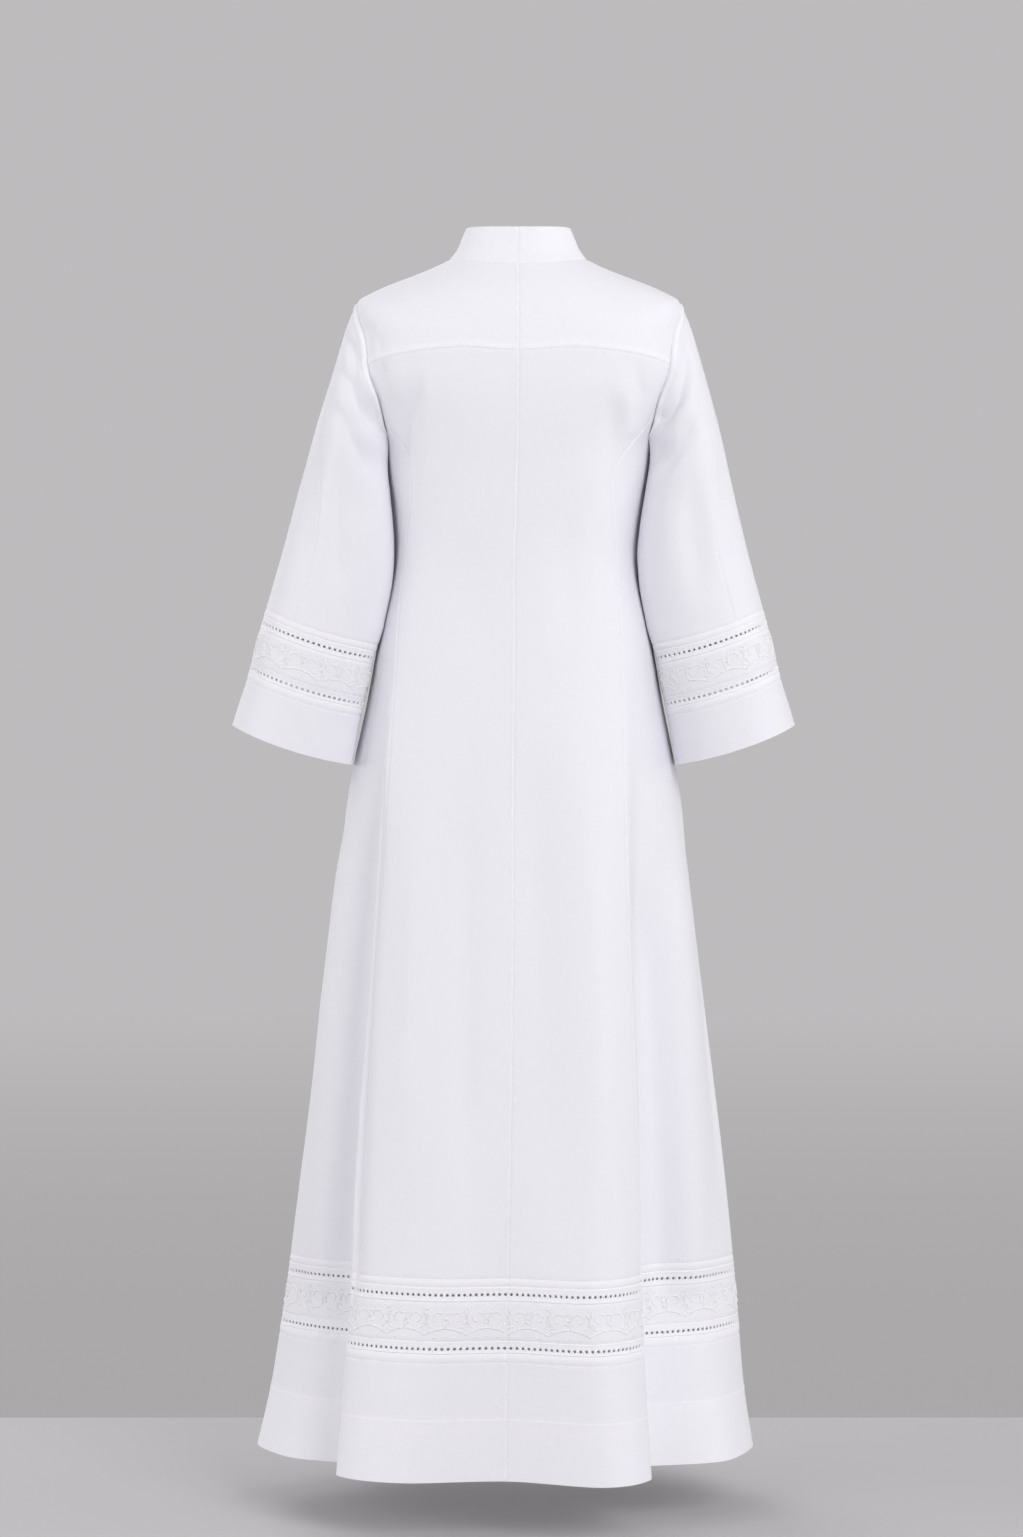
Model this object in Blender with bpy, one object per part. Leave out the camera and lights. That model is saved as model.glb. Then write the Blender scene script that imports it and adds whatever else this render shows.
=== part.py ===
"""An alb robe, hollow and open, in the form it has when it is worn.

Metres, +Z up. The front faces -Y and the wearer's left is +X. The origin is at the
base of the collar at the centre back, where the robe sits on the neck and shoulders.
"""

import math

import bpy
import numpy as np

# Cloth and seams.
WALL = 0.0015
SEAM_GAP = 0.0003
BAND_RAISE = 0.0004
MITRE_LIMIT = 0.6
SHARP_ANGLE = math.radians(50)

# Rings of the body, from the neckline down. The upper rings tilt, so each has its own
# height at the centre back, at the side and at the centre front.
RING_COLUMNS = (
    "back_z", "side_z", "front_z", "half_width", "back_y", "front_y", "centre_x", "squareness",
)
RINGS = np.array((
    (0.000, 0.011, -0.050, 0.0804, 0.0650, -0.0850, -0.0040, 2.00),
    (-0.028, -0.005, -0.078, 0.1150, 0.0875, -0.1020, -0.0042, 2.10),
    (-0.058, -0.018, -0.103, 0.1500, 0.1020, -0.1130, -0.0044, 2.30),
    (-0.088, -0.038, -0.125, 0.1866, 0.1100, -0.1200, -0.0044, 2.50),
    (-0.112, -0.080, -0.145, 0.1880, 0.1140, -0.1245, -0.0044, 2.60),
    (-0.140, -0.120, -0.163, 0.1870, 0.1165, -0.1270, -0.0044, 2.60),
    (-0.170, -0.160, -0.182, 0.1700, 0.1170, -0.1285, -0.0042, 2.50),
    (-0.200, -0.200, -0.200, 0.1535, 0.1155, -0.1280, -0.0040, 2.40),
    (-0.240, -0.240, -0.240, 0.1480, 0.1125, -0.1235, -0.0033, 2.35),
    (-0.298, -0.298, -0.298, 0.1395, 0.1100, -0.1150, -0.0017, 2.30),
    (-0.340, -0.340, -0.340, 0.1382, 0.1095, -0.1110, 0.0000, 2.25),
    (-0.388, -0.388, -0.388, 0.1475, 0.1120, -0.1120, 0.0000, 2.20),
    (-0.442, -0.442, -0.442, 0.1590, 0.1170, -0.1160, 0.0000, 2.20),
    (-0.509, -0.509, -0.509, 0.1710, 0.1240, -0.1220, 0.0005, 2.15),
    (-0.576, -0.576, -0.576, 0.1855, 0.1310, -0.1280, 0.0012, 2.15),
    (-0.660, -0.660, -0.660, 0.1985, 0.1400, -0.1360, 0.0015, 2.10),
    (-0.765, -0.765, -0.765, 0.2115, 0.1510, -0.1450, 0.0015, 2.10),
    (-0.890, -0.890, -0.890, 0.2280, 0.1645, -0.1560, 0.0025, 2.10),
    (-1.020, -1.020, -1.020, 0.2460, 0.1775, -0.1675, 0.0041, 2.10),
    (-1.148, -1.148, -1.148, 0.2615, 0.1900, -0.1780, 0.0061, 2.10),
    (-1.239, -1.239, -1.239, 0.2710, 0.1990, -0.1860, 0.0083, 2.10),
    (-1.302, -1.302, -1.302, 0.2775, 0.2045, -0.1910, 0.0102, 2.10),
    (-1.368, -1.368, -1.368, 0.2886, 0.2100, -0.1960, 0.0122, 2.10),
))
TIP_RING = 3
BAND_TOP = -1.148
BAND_BOTTOM = -1.239
HEM_STITCH = -1.302
HEM = -1.368

# Armhole: an egg in the side view, from the shoulder point to the underarm.
ARMHOLE_TOP = -0.038
ARMHOLE_BOTTOM = -0.197
ARMHOLE_BACK = 0.062
ARMHOLE_FRONT = 0.060
ARMHOLE_EGG = 0.12
PRINCESS_TURN = 135.0

# Lower edge of the yoke: height at the centre back, at its highest and at the armhole.
YOKE_BACK_Z = -0.1056
YOKE_HIGH_Z = -0.1020
YOKE_HIGH_AT = 0.33
YOKE_SIDE_Z = -0.1175
YOKE_FALL = 1.5

# Folds of the skirt, as lengthwise guide lines. Each has its angle from the centre back
# where the skirt is smooth, its columns up to the next line, and its place in plan at
# the middle of the band and at the hem. An angle of None is worked out from the
# princess seam, at the share of the way given.
GUIDE_COLUMNS = ("name", "angle", "share", "columns", "band_x", "band_y", "hem_x", "hem_y")
LEFT_GUIDES = (
    ("centre_back", 0, None, 4, 0.0080, 0.2160, 0.0093, 0.2390),
    ("back_bulge", None, 0.50, 5, 0.0943, 0.2220, 0.1266, 0.2490),
    ("princess", None, 1.00, 4, 0.1840, 0.1680, 0.1990, 0.2000),
    ("back_valley", None, 1.25, 2, 0.1690, 0.0900, 0.1840, 0.1290),
    ("side_bulge", None, 1.60, 3, 0.2240, 0.0430, 0.2520, 0.0940),
    ("side", 90, None, 4, 0.2665, -0.0120, 0.3000, 0.0000),
    ("side_front", 112, None, 3, 0.2420, -0.0720, 0.2680, -0.0800),
    ("front_valley", 130, None, 3, 0.1900, -0.1200, 0.2080, -0.1320),
    ("front_ridge", 145, None, 3, 0.1520, -0.1780, 0.1680, -0.2030),
    ("front_middle", 162, None, 3, 0.0800, -0.1930, 0.0920, -0.2160),
    ("centre_front", 180, None, 0, 0.0080, -0.1840, 0.0120, -0.2050),
)
RIGHT_GUIDES = (
    ("centre_back", 0, None, 4, 0.0080, 0.2160, 0.0093, 0.2390),
    ("back_bulge", None, 0.50, 5, -0.0830, 0.2420, -0.0963, 0.2760),
    ("princess", None, 1.00, 4, -0.1410, 0.1860, -0.1510, 0.2260),
    ("back_valley", None, 1.25, 2, -0.1330, 0.1080, -0.1410, 0.1480),
    ("side_bulge", None, 1.60, 3, -0.2100, 0.0640, -0.2330, 0.1180),
    ("side", 90, None, 4, -0.2575, -0.0080, -0.2770, 0.0050),
    ("side_front", 112, None, 3, -0.2330, -0.0740, -0.2500, -0.0850),
    ("front_valley", 130, None, 3, -0.1800, -0.1180, -0.1950, -0.1300),
    ("front_ridge", 145, None, 3, -0.1420, -0.1740, -0.1520, -0.2060),
    ("front_middle", 162, None, 3, -0.0680, -0.1950, -0.0760, -0.2200),
    ("centre_front", 180, None, 0, 0.0080, -0.1840, 0.0120, -0.2050),
)
PRINCESS = 2
SIDE = 5
FRONT_EDGE = 6
FOLD_TOP = -0.44
FOLD_POWER = 1.2
BAND_MIDDLE = -1.19

# Princess seams: height, and place sideways of the left and of the right seam.
PRINCESS_REACH = 0.995
PRINCESS_SEAM = (
    (-0.240, 0.1205, -0.1150),
    (-0.300, 0.1225, -0.1140),
    (-0.370, 0.1320, -0.1180),
    (-0.480, 0.1375, -0.1230),
    (-0.700, 0.1530, -0.1265),
    (-0.865, 0.1650, -0.1338),
    (-1.005, 0.1765, -0.1380),
    (-1.190, 0.1840, -0.1410),
    (-1.368, 0.1990, -0.1510),
)

# Rows of the body grid. Above the underarm a row has its ring number at the centre
# back and at the centre front; below it a row is level.
SHOULDER_ROWS = 4
YOKE_ROWS = 8
ROW_BEND = 1.5
UPPER_BACK_RINGS = (0.0, 0.5, 1.0, 1.45, 1.9, 2.35, 2.8, 3.25, 3.73, 4.6, 5.4, 6.1, 6.8)
UPPER_FRONT_RINGS = (0.0, 0.5, 1.0, 1.5, 2.0, 2.5, 3.0, 3.5, 4.0, 4.7, 5.4, 6.05, 6.7)
ARMHOLE_TURNS = (0, 22, 45, 68, 90, 102, 114, 125, 135)
LEVEL_ROWS = (
    -0.240, -0.298, -0.345, -0.392, -0.445, -0.510, -0.585, -0.680, -0.790, -0.910,
    -1.030, BAND_TOP, -1.1935, BAND_BOTTOM, HEM_STITCH, HEM,
)

# Collar: its upper edge.
COLLAR_ROWS = 3
COLLAR_BACK_Z = 0.0437
COLLAR_SIDE_Z = 0.0476
COLLAR_FRONT_Z = -0.0050
COLLAR_HALF_WIDTH = 0.0610
COLLAR_BACK_Y = 0.0520
COLLAR_FRONT_Y = -0.0720
COLLAR_HOLLOW = 0.0025
COLLAR_HOLLOW_LOW = 1.6

# Sleeves: the outer and the inner line of a sleeve, its depth to the back and to the
# front, how far a ring droops at back and front, and the shift of both sleeves.
SLEEVE_COLUMNS = ("outer_x", "outer_z", "inner_x", "inner_z", "half_depth", "droop", "centre_x")
SLEEVE_RINGS = np.array((
    (0.1866, -0.0380, 0.1532, -0.1970, 0.0620, 0.000, -0.0044),
    (0.1990, -0.0640, 0.1580, -0.2060, 0.0660, 0.000, -0.0044),
    (0.2100, -0.1000, 0.1592, -0.2170, 0.0690, 0.000, -0.0044),
    (0.2220, -0.1400, 0.1585, -0.2300, 0.0700, 0.001, -0.0040),
    (0.2340, -0.1820, 0.1560, -0.2480, 0.0700, 0.002, -0.0032),
    (0.2445, -0.2240, 0.1525, -0.2720, 0.0700, 0.003, -0.0022),
    (0.2555, -0.2680, 0.1475, -0.3070, 0.0700, 0.004, -0.0012),
    (0.2660, -0.3110, 0.1465, -0.3500, 0.0705, 0.005, -0.0006),
    (0.2775, -0.3540, 0.1525, -0.3930, 0.0710, 0.006, 0.0000),
    (0.2891, -0.3954, 0.1630, -0.4364, 0.0720, 0.006, 0.0004),
    (0.3000, -0.4360, 0.1715, -0.4780, 0.0730, 0.006, 0.0008),
    (0.3104, -0.4766, 0.1805, -0.5192, 0.0745, 0.006, 0.0011),
    (0.3190, -0.5035, 0.1850, -0.5476, 0.0755, 0.006, 0.0013),
    (0.3272, -0.5304, 0.1900, -0.5760, 0.0765, 0.006, 0.0015),
))
SLEEVE_SQUARENESS = 2.15
SLEEVE_BAND_TOP = 9
SLEEVE_BAND_BOTTOM = 11
SLEEVE_BLEND = 3.0
SLEEVE_TWIST = 66.0
SLEEVE_TWIST_LENGTH = 7.0

# How finely a place on the form is searched for.
SEARCH_STEPS = 40
SEARCH_START = 0.02

CLOTH = ("robe_cloth", (0.86, 0.86, 0.88), 0.75)
BAND_CLOTH = ("band_cloth", (0.90, 0.90, 0.92), 0.65)


def clear_scene():
    """Remove what the file opens with."""
    for obj in list(bpy.data.objects):
        bpy.data.objects.remove(obj, do_unlink=True)


def cloth_material(name, colour, roughness):
    """A plain cloth finish."""
    material = bpy.data.materials.new(name)
    material.use_nodes = True
    shader = material.node_tree.nodes["Principled BSDF"]
    shader.inputs["Base Color"].default_value = (*colour, 1.0)
    shader.inputs["Roughness"].default_value = roughness
    shader.inputs["Metallic"].default_value = 0.0
    return material


def smooth_step(share):
    """0 to 1 with level ends."""
    share = min(max(share, 0.0), 1.0)
    return share * share * (3.0 - 2.0 * share)


def row_between(table, place):
    """A row of the smooth curve through a table's rows, at a place between two of them."""
    last = len(table) - 1
    k = min(max(int(place), 0), last - 1)
    t = place - k
    before = table[max(k - 1, 0)]
    start = table[k]
    end = table[k + 1]
    after = table[min(k + 2, last)]
    slope = end - before
    bend = 2.0 * before - 5.0 * start + 4.0 * end - after
    twist = -before + 3.0 * start - 3.0 * end + after
    return start + 0.5 * (slope * t + bend * t**2 + twist * t**3)


def cubic_through(knots, values, at, rising):
    """Smooth curve through values at knots. With rising it never overshoots."""
    k = int(np.clip(np.searchsorted(knots, at, side="right") - 1, 0, len(knots) - 2))
    slopes = []
    for j in (k, k + 1):
        low = max(j - 1, 0)
        high = min(j + 1, len(knots) - 1)
        slope = (values[high] - values[low]) / (knots[high] - knots[low])
        if rising:
            steps = [
                (values[m + 1] - values[m]) / (knots[m + 1] - knots[m])
                for m in (j - 1, j)
                if 0 <= m < len(knots) - 1
            ]
            slope = min(slope, 3.0 * min(steps))
        slopes.append(slope)
    span = knots[k + 1] - knots[k]
    t = (at - knots[k]) / span
    return (
        (2 * t**3 - 3 * t**2 + 1) * values[k]
        + (t**3 - 2 * t**2 + t) * span * slopes[0]
        + (3 * t**2 - 2 * t**3) * values[k + 1]
        + (t**3 - t**2) * span * slopes[1]
    )


def square_turn(turn, squareness):
    """Across and along shares of a rounded square at a turn from the centre back."""
    across = math.sin(turn)
    along = math.cos(turn)
    reach = (abs(across) ** squareness + abs(along) ** squareness) ** (-1.0 / squareness)
    return across * reach, along * reach


def body_point(turn, ring_number):
    """A point of the smooth body, at a turn in radians round from the centre back."""
    ring = dict(zip(RING_COLUMNS, row_between(RINGS, ring_number)))
    across, along = square_turn(turn, ring["squareness"])
    end_y = ring["back_y"] if along >= 0 else -ring["front_y"]
    end_z = ring["back_z"] if along >= 0 else ring["front_z"]
    return np.array((
        ring["centre_x"] + ring["half_width"] * across,
        end_y * along,
        ring["side_z"] + (end_z - ring["side_z"]) * along**2,
    ))


def ring_at(turn, z):
    """The ring number whose point at this turn has this height."""
    low = 0.0
    high = len(RINGS) - 1.0
    for _ in range(SEARCH_STEPS):
        middle = 0.5 * (low + high)
        if body_point(turn, middle)[2] > z:
            low = middle
        else:
            high = middle
    return 0.5 * (low + high)


def armhole_target(turn):
    """Depth and height of the armhole's egg, turned from the shoulder point to the back."""
    middle = 0.5 * (ARMHOLE_TOP + ARMHOLE_BOTTOM)
    half_height = 0.5 * (ARMHOLE_TOP - ARMHOLE_BOTTOM)
    depth = ARMHOLE_BACK if math.sin(turn) >= 0 else ARMHOLE_FRONT
    y = depth * math.sin(turn) * (1.0 - ARMHOLE_EGG * math.cos(turn))
    return y, middle + half_height * math.cos(turn)


def armhole_place(turn):
    """Turn round the body and ring number of the armhole's edge at a turn of its egg."""
    y, z = armhole_target(turn)
    near = SEARCH_START
    far = 0.5 * math.pi
    if y < 0:
        near = math.pi - near
    for _ in range(SEARCH_STEPS):
        middle = 0.5 * (near + far)
        if abs(body_point(middle, ring_at(middle, z))[1]) > abs(y):
            near = middle
        else:
            far = middle
    around = 0.5 * (near + far)
    return around, ring_at(around, z)


def guide_starts(guides):
    """The column at which each guide line runs."""
    starts = [0]
    for guide in guides[:-1]:
        starts.append(starts[-1] + guide[GUIDE_COLUMNS.index("columns")])
    return starts


STARTS = guide_starts(LEFT_GUIDES)
HALF = STARTS[-1]
PRINCESS_COLUMN = STARTS[PRINCESS]
SIDE_COLUMN = STARTS[SIDE]
EDGE_COLUMN = STARTS[FRONT_EDGE]
UPPER = len(UPPER_BACK_RINGS) - 1
BAND_TOP_ROW = UPPER + 1 + LEVEL_ROWS.index(BAND_TOP)
BAND_BOTTOM_ROW = UPPER + 1 + LEVEL_ROWS.index(BAND_BOTTOM)
HEM_ROW = UPPER + len(LEVEL_ROWS)


def fold_weight(z):
    """How far the folds have opened at a height: 0 at the hip, 1 at the band."""
    share = (FOLD_TOP - z) / (FOLD_TOP - BAND_MIDDLE)
    return min(max(share, 0.0), 1.0) ** FOLD_POWER


def princess_turn(side, z, shift_x):
    """Turn at which the smooth body, moved sideways by a fold, meets the princess seam."""
    heights = [-row[0] for row in PRINCESS_SEAM]
    places = [row[1 if side > 0 else 2] for row in PRINCESS_SEAM]
    x = float(np.interp(-z, heights, places)) - shift_x
    ring = dict(zip(RING_COLUMNS, row_between(RINGS, ring_at(0.5 * math.pi, z))))
    across = min(abs(x - ring["centre_x"]) / ring["half_width"], PRINCESS_REACH)
    along = (1.0 - across ** ring["squareness"]) ** (1.0 / ring["squareness"])
    return math.atan2(across, along)


def guide_turns(side, guides, z, shift_x):
    """Turn of each guide line at a height, in radians."""
    seam = princess_turn(side, z, shift_x)
    turns = []
    for guide in guides:
        angle, share = guide[1:3]
        if share is None:
            turns.append(math.radians(angle))
        elif share <= 1.0:
            turns.append(seam * share)
        else:
            turns.append(seam + (0.5 * math.pi - seam) * (share - 1.0))
    return turns


def around_turn(side, turn):
    """A turn from the centre back, signed for the side that it is on."""
    return turn if side > 0 else 2.0 * math.pi - turn


def guide_offsets(side, guides, z, columns):
    """How far each guide line lies from the smooth body, in plan, at a height."""
    turns = guide_turns(side, guides, z, 0.0)
    ring_number = ring_at(0.5 * math.pi, z)
    found = []
    for guide, turn in zip(guides, turns):
        smooth = body_point(around_turn(side, turn), ring_number)
        place = [guide[GUIDE_COLUMNS.index(name)] for name in columns]
        found.append((place[0] - smooth[0], place[1] - smooth[1]))
    return found


def fold_tables():
    """Offsets of all guide lines round the body, at the band and at the hem."""
    tables = []
    for z, columns in ((BAND_MIDDLE, ("band_x", "band_y")), (HEM, ("hem_x", "hem_y"))):
        left = guide_offsets(1, LEFT_GUIDES, z, columns)
        right = guide_offsets(-1, RIGHT_GUIDES, z, columns)
        tables.append(np.array(left + right[-2:0:-1]))
    return tables


def round_knots():
    """Column of each guide line round the whole body, with the first again at the end."""
    return np.array(STARTS + [2 * HALF - start for start in STARTS[-2:0:-1]] + [2 * HALF])


def periodic(values, column):
    """Smooth closed curve through the guide lines' values, at a column."""
    knots = round_knots()
    count = len(values)
    k = int(np.clip(np.searchsorted(knots, column, side="right") - 1, 0, count - 1))
    slopes = []
    for j in (k, k + 1):
        before = knots[j] - knots[j - 1] if j > 0 else knots[-1] - knots[-2]
        after = knots[j + 1] - knots[j] if j < count else knots[1] - knots[0]
        rise = values[(j + 1) % count] - values[(j - 1) % count]
        slopes.append(rise / (before + after))
    span = knots[k + 1] - knots[k]
    t = (column - knots[k]) / span
    start = values[k]
    end = values[(k + 1) % count]
    return (
        (2 * t**3 - 3 * t**2 + 1) * start
        + (t**3 - 2 * t**2 + t) * span * slopes[0]
        + (3 * t**2 - 2 * t**3) * end
        + (t**3 - t**2) * span * slopes[1]
    )


def level_row(z, tables):
    """Points of a level row round the body, by column."""
    band, hem = tables
    if z > BAND_MIDDLE:
        offsets = band * fold_weight(z)
    else:
        offsets = band + (hem - band) * (BAND_MIDDLE - z) / (BAND_MIDDLE - HEM)
    left = guide_turns(1, LEFT_GUIDES, z, offsets[PRINCESS][0])
    right = guide_turns(-1, RIGHT_GUIDES, z, offsets[-PRINCESS][0])
    turns = left + [2.0 * math.pi - turn for turn in right[-2::-1]]
    ring_number = ring_at(0.5 * math.pi, z)
    knots = round_knots()
    points = []
    for column in range(2 * HALF):
        turn = cubic_through(knots, turns, column, True)
        point = body_point(turn, ring_number)
        shift = periodic(offsets, column)
        points.append(point + np.array((shift[0], shift[1], 0.0)))
    return points


def yoke_height(share):
    """Height of the yoke's lower edge, from the centre back to the armhole."""
    if share < YOKE_HIGH_AT:
        return YOKE_BACK_Z + (YOKE_HIGH_Z - YOKE_BACK_Z) * smooth_step(share / YOKE_HIGH_AT)
    rest = (share - YOKE_HIGH_AT) / (1.0 - YOKE_HIGH_AT)
    return YOKE_HIGH_Z + (YOKE_SIDE_Z - YOKE_HIGH_Z) * rest**YOKE_FALL


def edge_places(row):
    """Where an upper row meets the shoulder seam or the armhole, at the back and front."""
    if row <= SHOULDER_ROWS:
        place = (0.5 * math.pi, TIP_RING * row / SHOULDER_ROWS)
        return place, place
    turn = math.radians(ARMHOLE_TURNS[row - SHOULDER_ROWS])
    return armhole_place(turn), armhole_place(-turn)


def upper_row(row):
    """Places of an upper row on one side, by column, without the armhole's own columns."""
    back_edge, front_edge = edge_places(row)
    places = {}
    for column in range(PRINCESS_COLUMN + 1):
        share = column / PRINCESS_COLUMN
        turn = back_edge[0] * share
        start = UPPER_BACK_RINGS[row]
        ring_number = start + (back_edge[1] - start) * share**ROW_BEND
        if row == YOKE_ROWS and column < PRINCESS_COLUMN:
            ring_number = ring_at(turn, yoke_height(share))
        places[column] = (turn, ring_number)
    for column in range(EDGE_COLUMN, HALF + 1):
        share = (HALF - column) / (HALF - EDGE_COLUMN)
        turn = math.pi + (front_edge[0] - math.pi) * share
        start = UPPER_FRONT_RINGS[row]
        places[column] = (turn, start + (front_edge[1] - start) * share**ROW_BEND)
    return places


def underarm_places():
    """Places of the armhole's lower edge, by column, from the princess seam round."""
    places = {}
    for column in range(PRINCESS_COLUMN, EDGE_COLUMN + 1):
        if column <= SIDE_COLUMN:
            share = (column - PRINCESS_COLUMN) / (SIDE_COLUMN - PRINCESS_COLUMN)
            turn = PRINCESS_TURN + (180.0 - PRINCESS_TURN) * share
        else:
            share = (column - SIDE_COLUMN) / (EDGE_COLUMN - SIDE_COLUMN)
            turn = 180.0 + (180.0 - PRINCESS_TURN) * share
        places[column] = armhole_place(math.radians(turn))
    return places


class Points:
    """All points of the robe, with one number for points that fall together."""

    def __init__(self):
        self.places = []
        self.numbers = {}

    def add(self, place):
        """The number of a point, new or already there."""
        key = tuple(int(round(value * 1e6)) for value in place)
        if key not in self.numbers:
            self.numbers[key] = len(self.places)
            self.places.append(np.array(place, float))
        return self.numbers[key]


def body_grid(points):
    """Point numbers of the body, by row and column; columns run right round."""
    grid = {}
    upper = [upper_row(row) for row in range(UPPER + 1)]
    upper[UPPER].update(underarm_places())
    for row, places in enumerate(upper):
        for column, (turn, ring_number) in places.items():
            for side in (1, -1):
                place = body_point(around_turn(side, turn), ring_number)
                around = column if side > 0 else (2 * HALF - column) % (2 * HALF)
                grid[row, around] = points.add(place)
    tables = fold_tables()
    for step, z in enumerate(LEVEL_ROWS):
        for around, place in enumerate(level_row(z, tables)):
            grid[UPPER + 1 + step, around] = points.add(place)
    return grid


def collar_grid(points, grid):
    """Point numbers of the collar, from its upper edge down to the neckline."""
    columns = [*range(PRINCESS_COLUMN + 1), *range(EDGE_COLUMN + 1, HALF + 1)]
    columns += [2 * HALF - column for column in columns[-2:0:-1]]
    ring = dict(zip(RING_COLUMNS, RINGS[0]))
    collar = {}
    for k, around in enumerate(columns):
        base = points.places[grid[0, around]]
        across = (base[0] - ring["centre_x"]) / ring["half_width"]
        along = base[1] / (ring["back_y"] if base[1] > 0 else -ring["front_y"])
        end_y = COLLAR_BACK_Y if along > 0 else -COLLAR_FRONT_Y
        end_z = COLLAR_BACK_Z if along > 0 else COLLAR_FRONT_Z
        top = np.array((
            ring["centre_x"] + COLLAR_HALF_WIDTH * across,
            end_y * along,
            COLLAR_SIDE_Z + (end_z - COLLAR_SIDE_Z) * along**2,
        ))
        outward = np.array((across, along, 0.0))
        for row in range(COLLAR_ROWS + 1):
            share = row / COLLAR_ROWS
            hollow = COLLAR_HOLLOW * math.sin(math.pi * share**COLLAR_HOLLOW_LOW)
            place = top + (base - top) * share - hollow * outward
            collar[row, k] = points.add(place) if row < COLLAR_ROWS else grid[0, around]
    return collar, len(columns)


def armhole_loop():
    """Row, column and turn of each point of the armhole, from the shoulder point back."""
    loop = []
    for row in range(SHOULDER_ROWS, UPPER):
        loop.append((row, PRINCESS_COLUMN, ARMHOLE_TURNS[row - SHOULDER_ROWS]))
    for column in range(PRINCESS_COLUMN, SIDE_COLUMN):
        share = (column - PRINCESS_COLUMN) / (SIDE_COLUMN - PRINCESS_COLUMN)
        loop.append((UPPER, column, PRINCESS_TURN + (180.0 - PRINCESS_TURN) * share))
    for column in range(SIDE_COLUMN, EDGE_COLUMN):
        share = (column - SIDE_COLUMN) / (EDGE_COLUMN - SIDE_COLUMN)
        loop.append((UPPER, column, 180.0 + (180.0 - PRINCESS_TURN) * share))
    for row in range(UPPER, SHOULDER_ROWS, -1):
        loop.append((row, EDGE_COLUMN, 360.0 - ARMHOLE_TURNS[row - SHOULDER_ROWS]))
    return loop


def sleeve_point(side, step, turn):
    """A point of the smooth sleeve, at a turn from its outer line to the back."""
    ring = dict(zip(SLEEVE_COLUMNS, row_between(SLEEVE_RINGS, step)))
    outer = np.array((ring["outer_x"], ring["outer_z"]))
    inner = np.array((ring["inner_x"], ring["inner_z"]))
    middle = 0.5 * (outer + inner)
    reach = 0.5 * (outer - inner)
    down = np.array((reach[1], -reach[0])) / np.linalg.norm(reach)
    back, out = square_turn(turn, SLEEVE_SQUARENESS)
    flat = middle + reach * out + down * ring["droop"] * back**2
    return np.array((ring["centre_x"] + side * flat[0], ring["half_depth"] * back, flat[1]))


def sleeve_grid(points, grid, side):
    """Point numbers of a sleeve, by ring and by column round it."""
    sleeve = {}
    loop = armhole_loop()
    for k, (row, column, degrees) in enumerate(loop):
        around = column if side > 0 else (2 * HALF - column) % (2 * HALF)
        edge = grid[row, around]
        sleeve[0, k] = edge
        turn = math.radians(degrees)
        pull = points.places[edge] - sleeve_point(side, 0, turn)
        for step in range(1, len(SLEEVE_RINGS)):
            twist = math.radians(SLEEVE_TWIST) * smooth_step(step / SLEEVE_TWIST_LENGTH)
            turned = turn + twist * 0.5 * (1.0 + math.cos(turn))
            kept = 1.0 - smooth_step(step / SLEEVE_BLEND)
            place = sleeve_point(side, step, turned) + pull * kept
            sleeve[step, k] = points.add(place)
    return sleeve, len(loop)


def cells(rows, columns, around=None, flip=False):
    """Corners of the cells of a block of a grid, as row and column, seen from outside."""
    found = []
    for row in range(rows[0], rows[1]):
        for column in range(columns[0], columns[1]):
            after = column + 1 if around is None else (column + 1) % around
            here = column if around is None else column % around
            corners = [(row, here), (row, after), (row + 1, after), (row + 1, here)]
            found.append(corners[::-1] if flip else corners)
    return found


def body_pieces(grid):
    """Cells of each piece of the body, as point numbers."""
    round_count = 2 * HALF
    blocks = {
        "yoke": [((0, YOKE_ROWS), (0, PRINCESS_COLUMN))],
        "back": [((YOKE_ROWS, BAND_TOP_ROW), (0, PRINCESS_COLUMN))],
        "side_back": [((UPPER, BAND_TOP_ROW), (PRINCESS_COLUMN, SIDE_COLUMN))],
        "front": [
            ((0, UPPER), (EDGE_COLUMN, HALF)),
            ((UPPER, BAND_TOP_ROW), (SIDE_COLUMN, HALF)),
        ],
        "skirt_band": [((BAND_TOP_ROW, BAND_BOTTOM_ROW), (0, HALF))],
        "hem": [((BAND_BOTTOM_ROW, HEM_ROW), (0, HALF))],
    }
    pieces = {}
    for name, parts in blocks.items():
        for side in ("left", "right"):
            found = []
            for rows, columns in parts:
                if side == "right":
                    columns = (round_count - columns[1], round_count - columns[0])
                found += cells(rows, columns, round_count)
            pieces[f"{name}_{side}"] = [[grid[corner] for corner in cell] for cell in found]
    return pieces


def collar_pieces(collar, count):
    """Cells of the two halves of the collar."""
    half = count // 2
    pieces = {}
    for side, columns in (("left", (0, half)), ("right", (half, count))):
        found = cells((0, COLLAR_ROWS), columns, count)
        pieces[f"collar_{side}"] = [[collar[corner] for corner in cell] for cell in found]
    return pieces


def sleeve_pieces(sleeve, count, side):
    """Cells of each piece of one sleeve."""
    name = "left" if side > 0 else "right"
    under = UPPER - SHOULDER_ROWS + SIDE_COLUMN - PRINCESS_COLUMN
    last = len(SLEEVE_RINGS) - 1
    blocks = {
        "sleeve_back": ((0, SLEEVE_BAND_TOP), (0, under)),
        "sleeve_front": ((0, SLEEVE_BAND_TOP), (under, count)),
        "sleeve_band": ((SLEEVE_BAND_TOP, SLEEVE_BAND_BOTTOM), (0, count)),
        "cuff": ((SLEEVE_BAND_BOTTOM, last), (0, count)),
    }
    pieces = {}
    for piece, (rows, columns) in blocks.items():
        found = cells(rows, columns, count, flip=side > 0)
        pieces[f"{piece}_{name}"] = [[sleeve[corner] for corner in cell] for cell in found]
    return pieces


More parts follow.
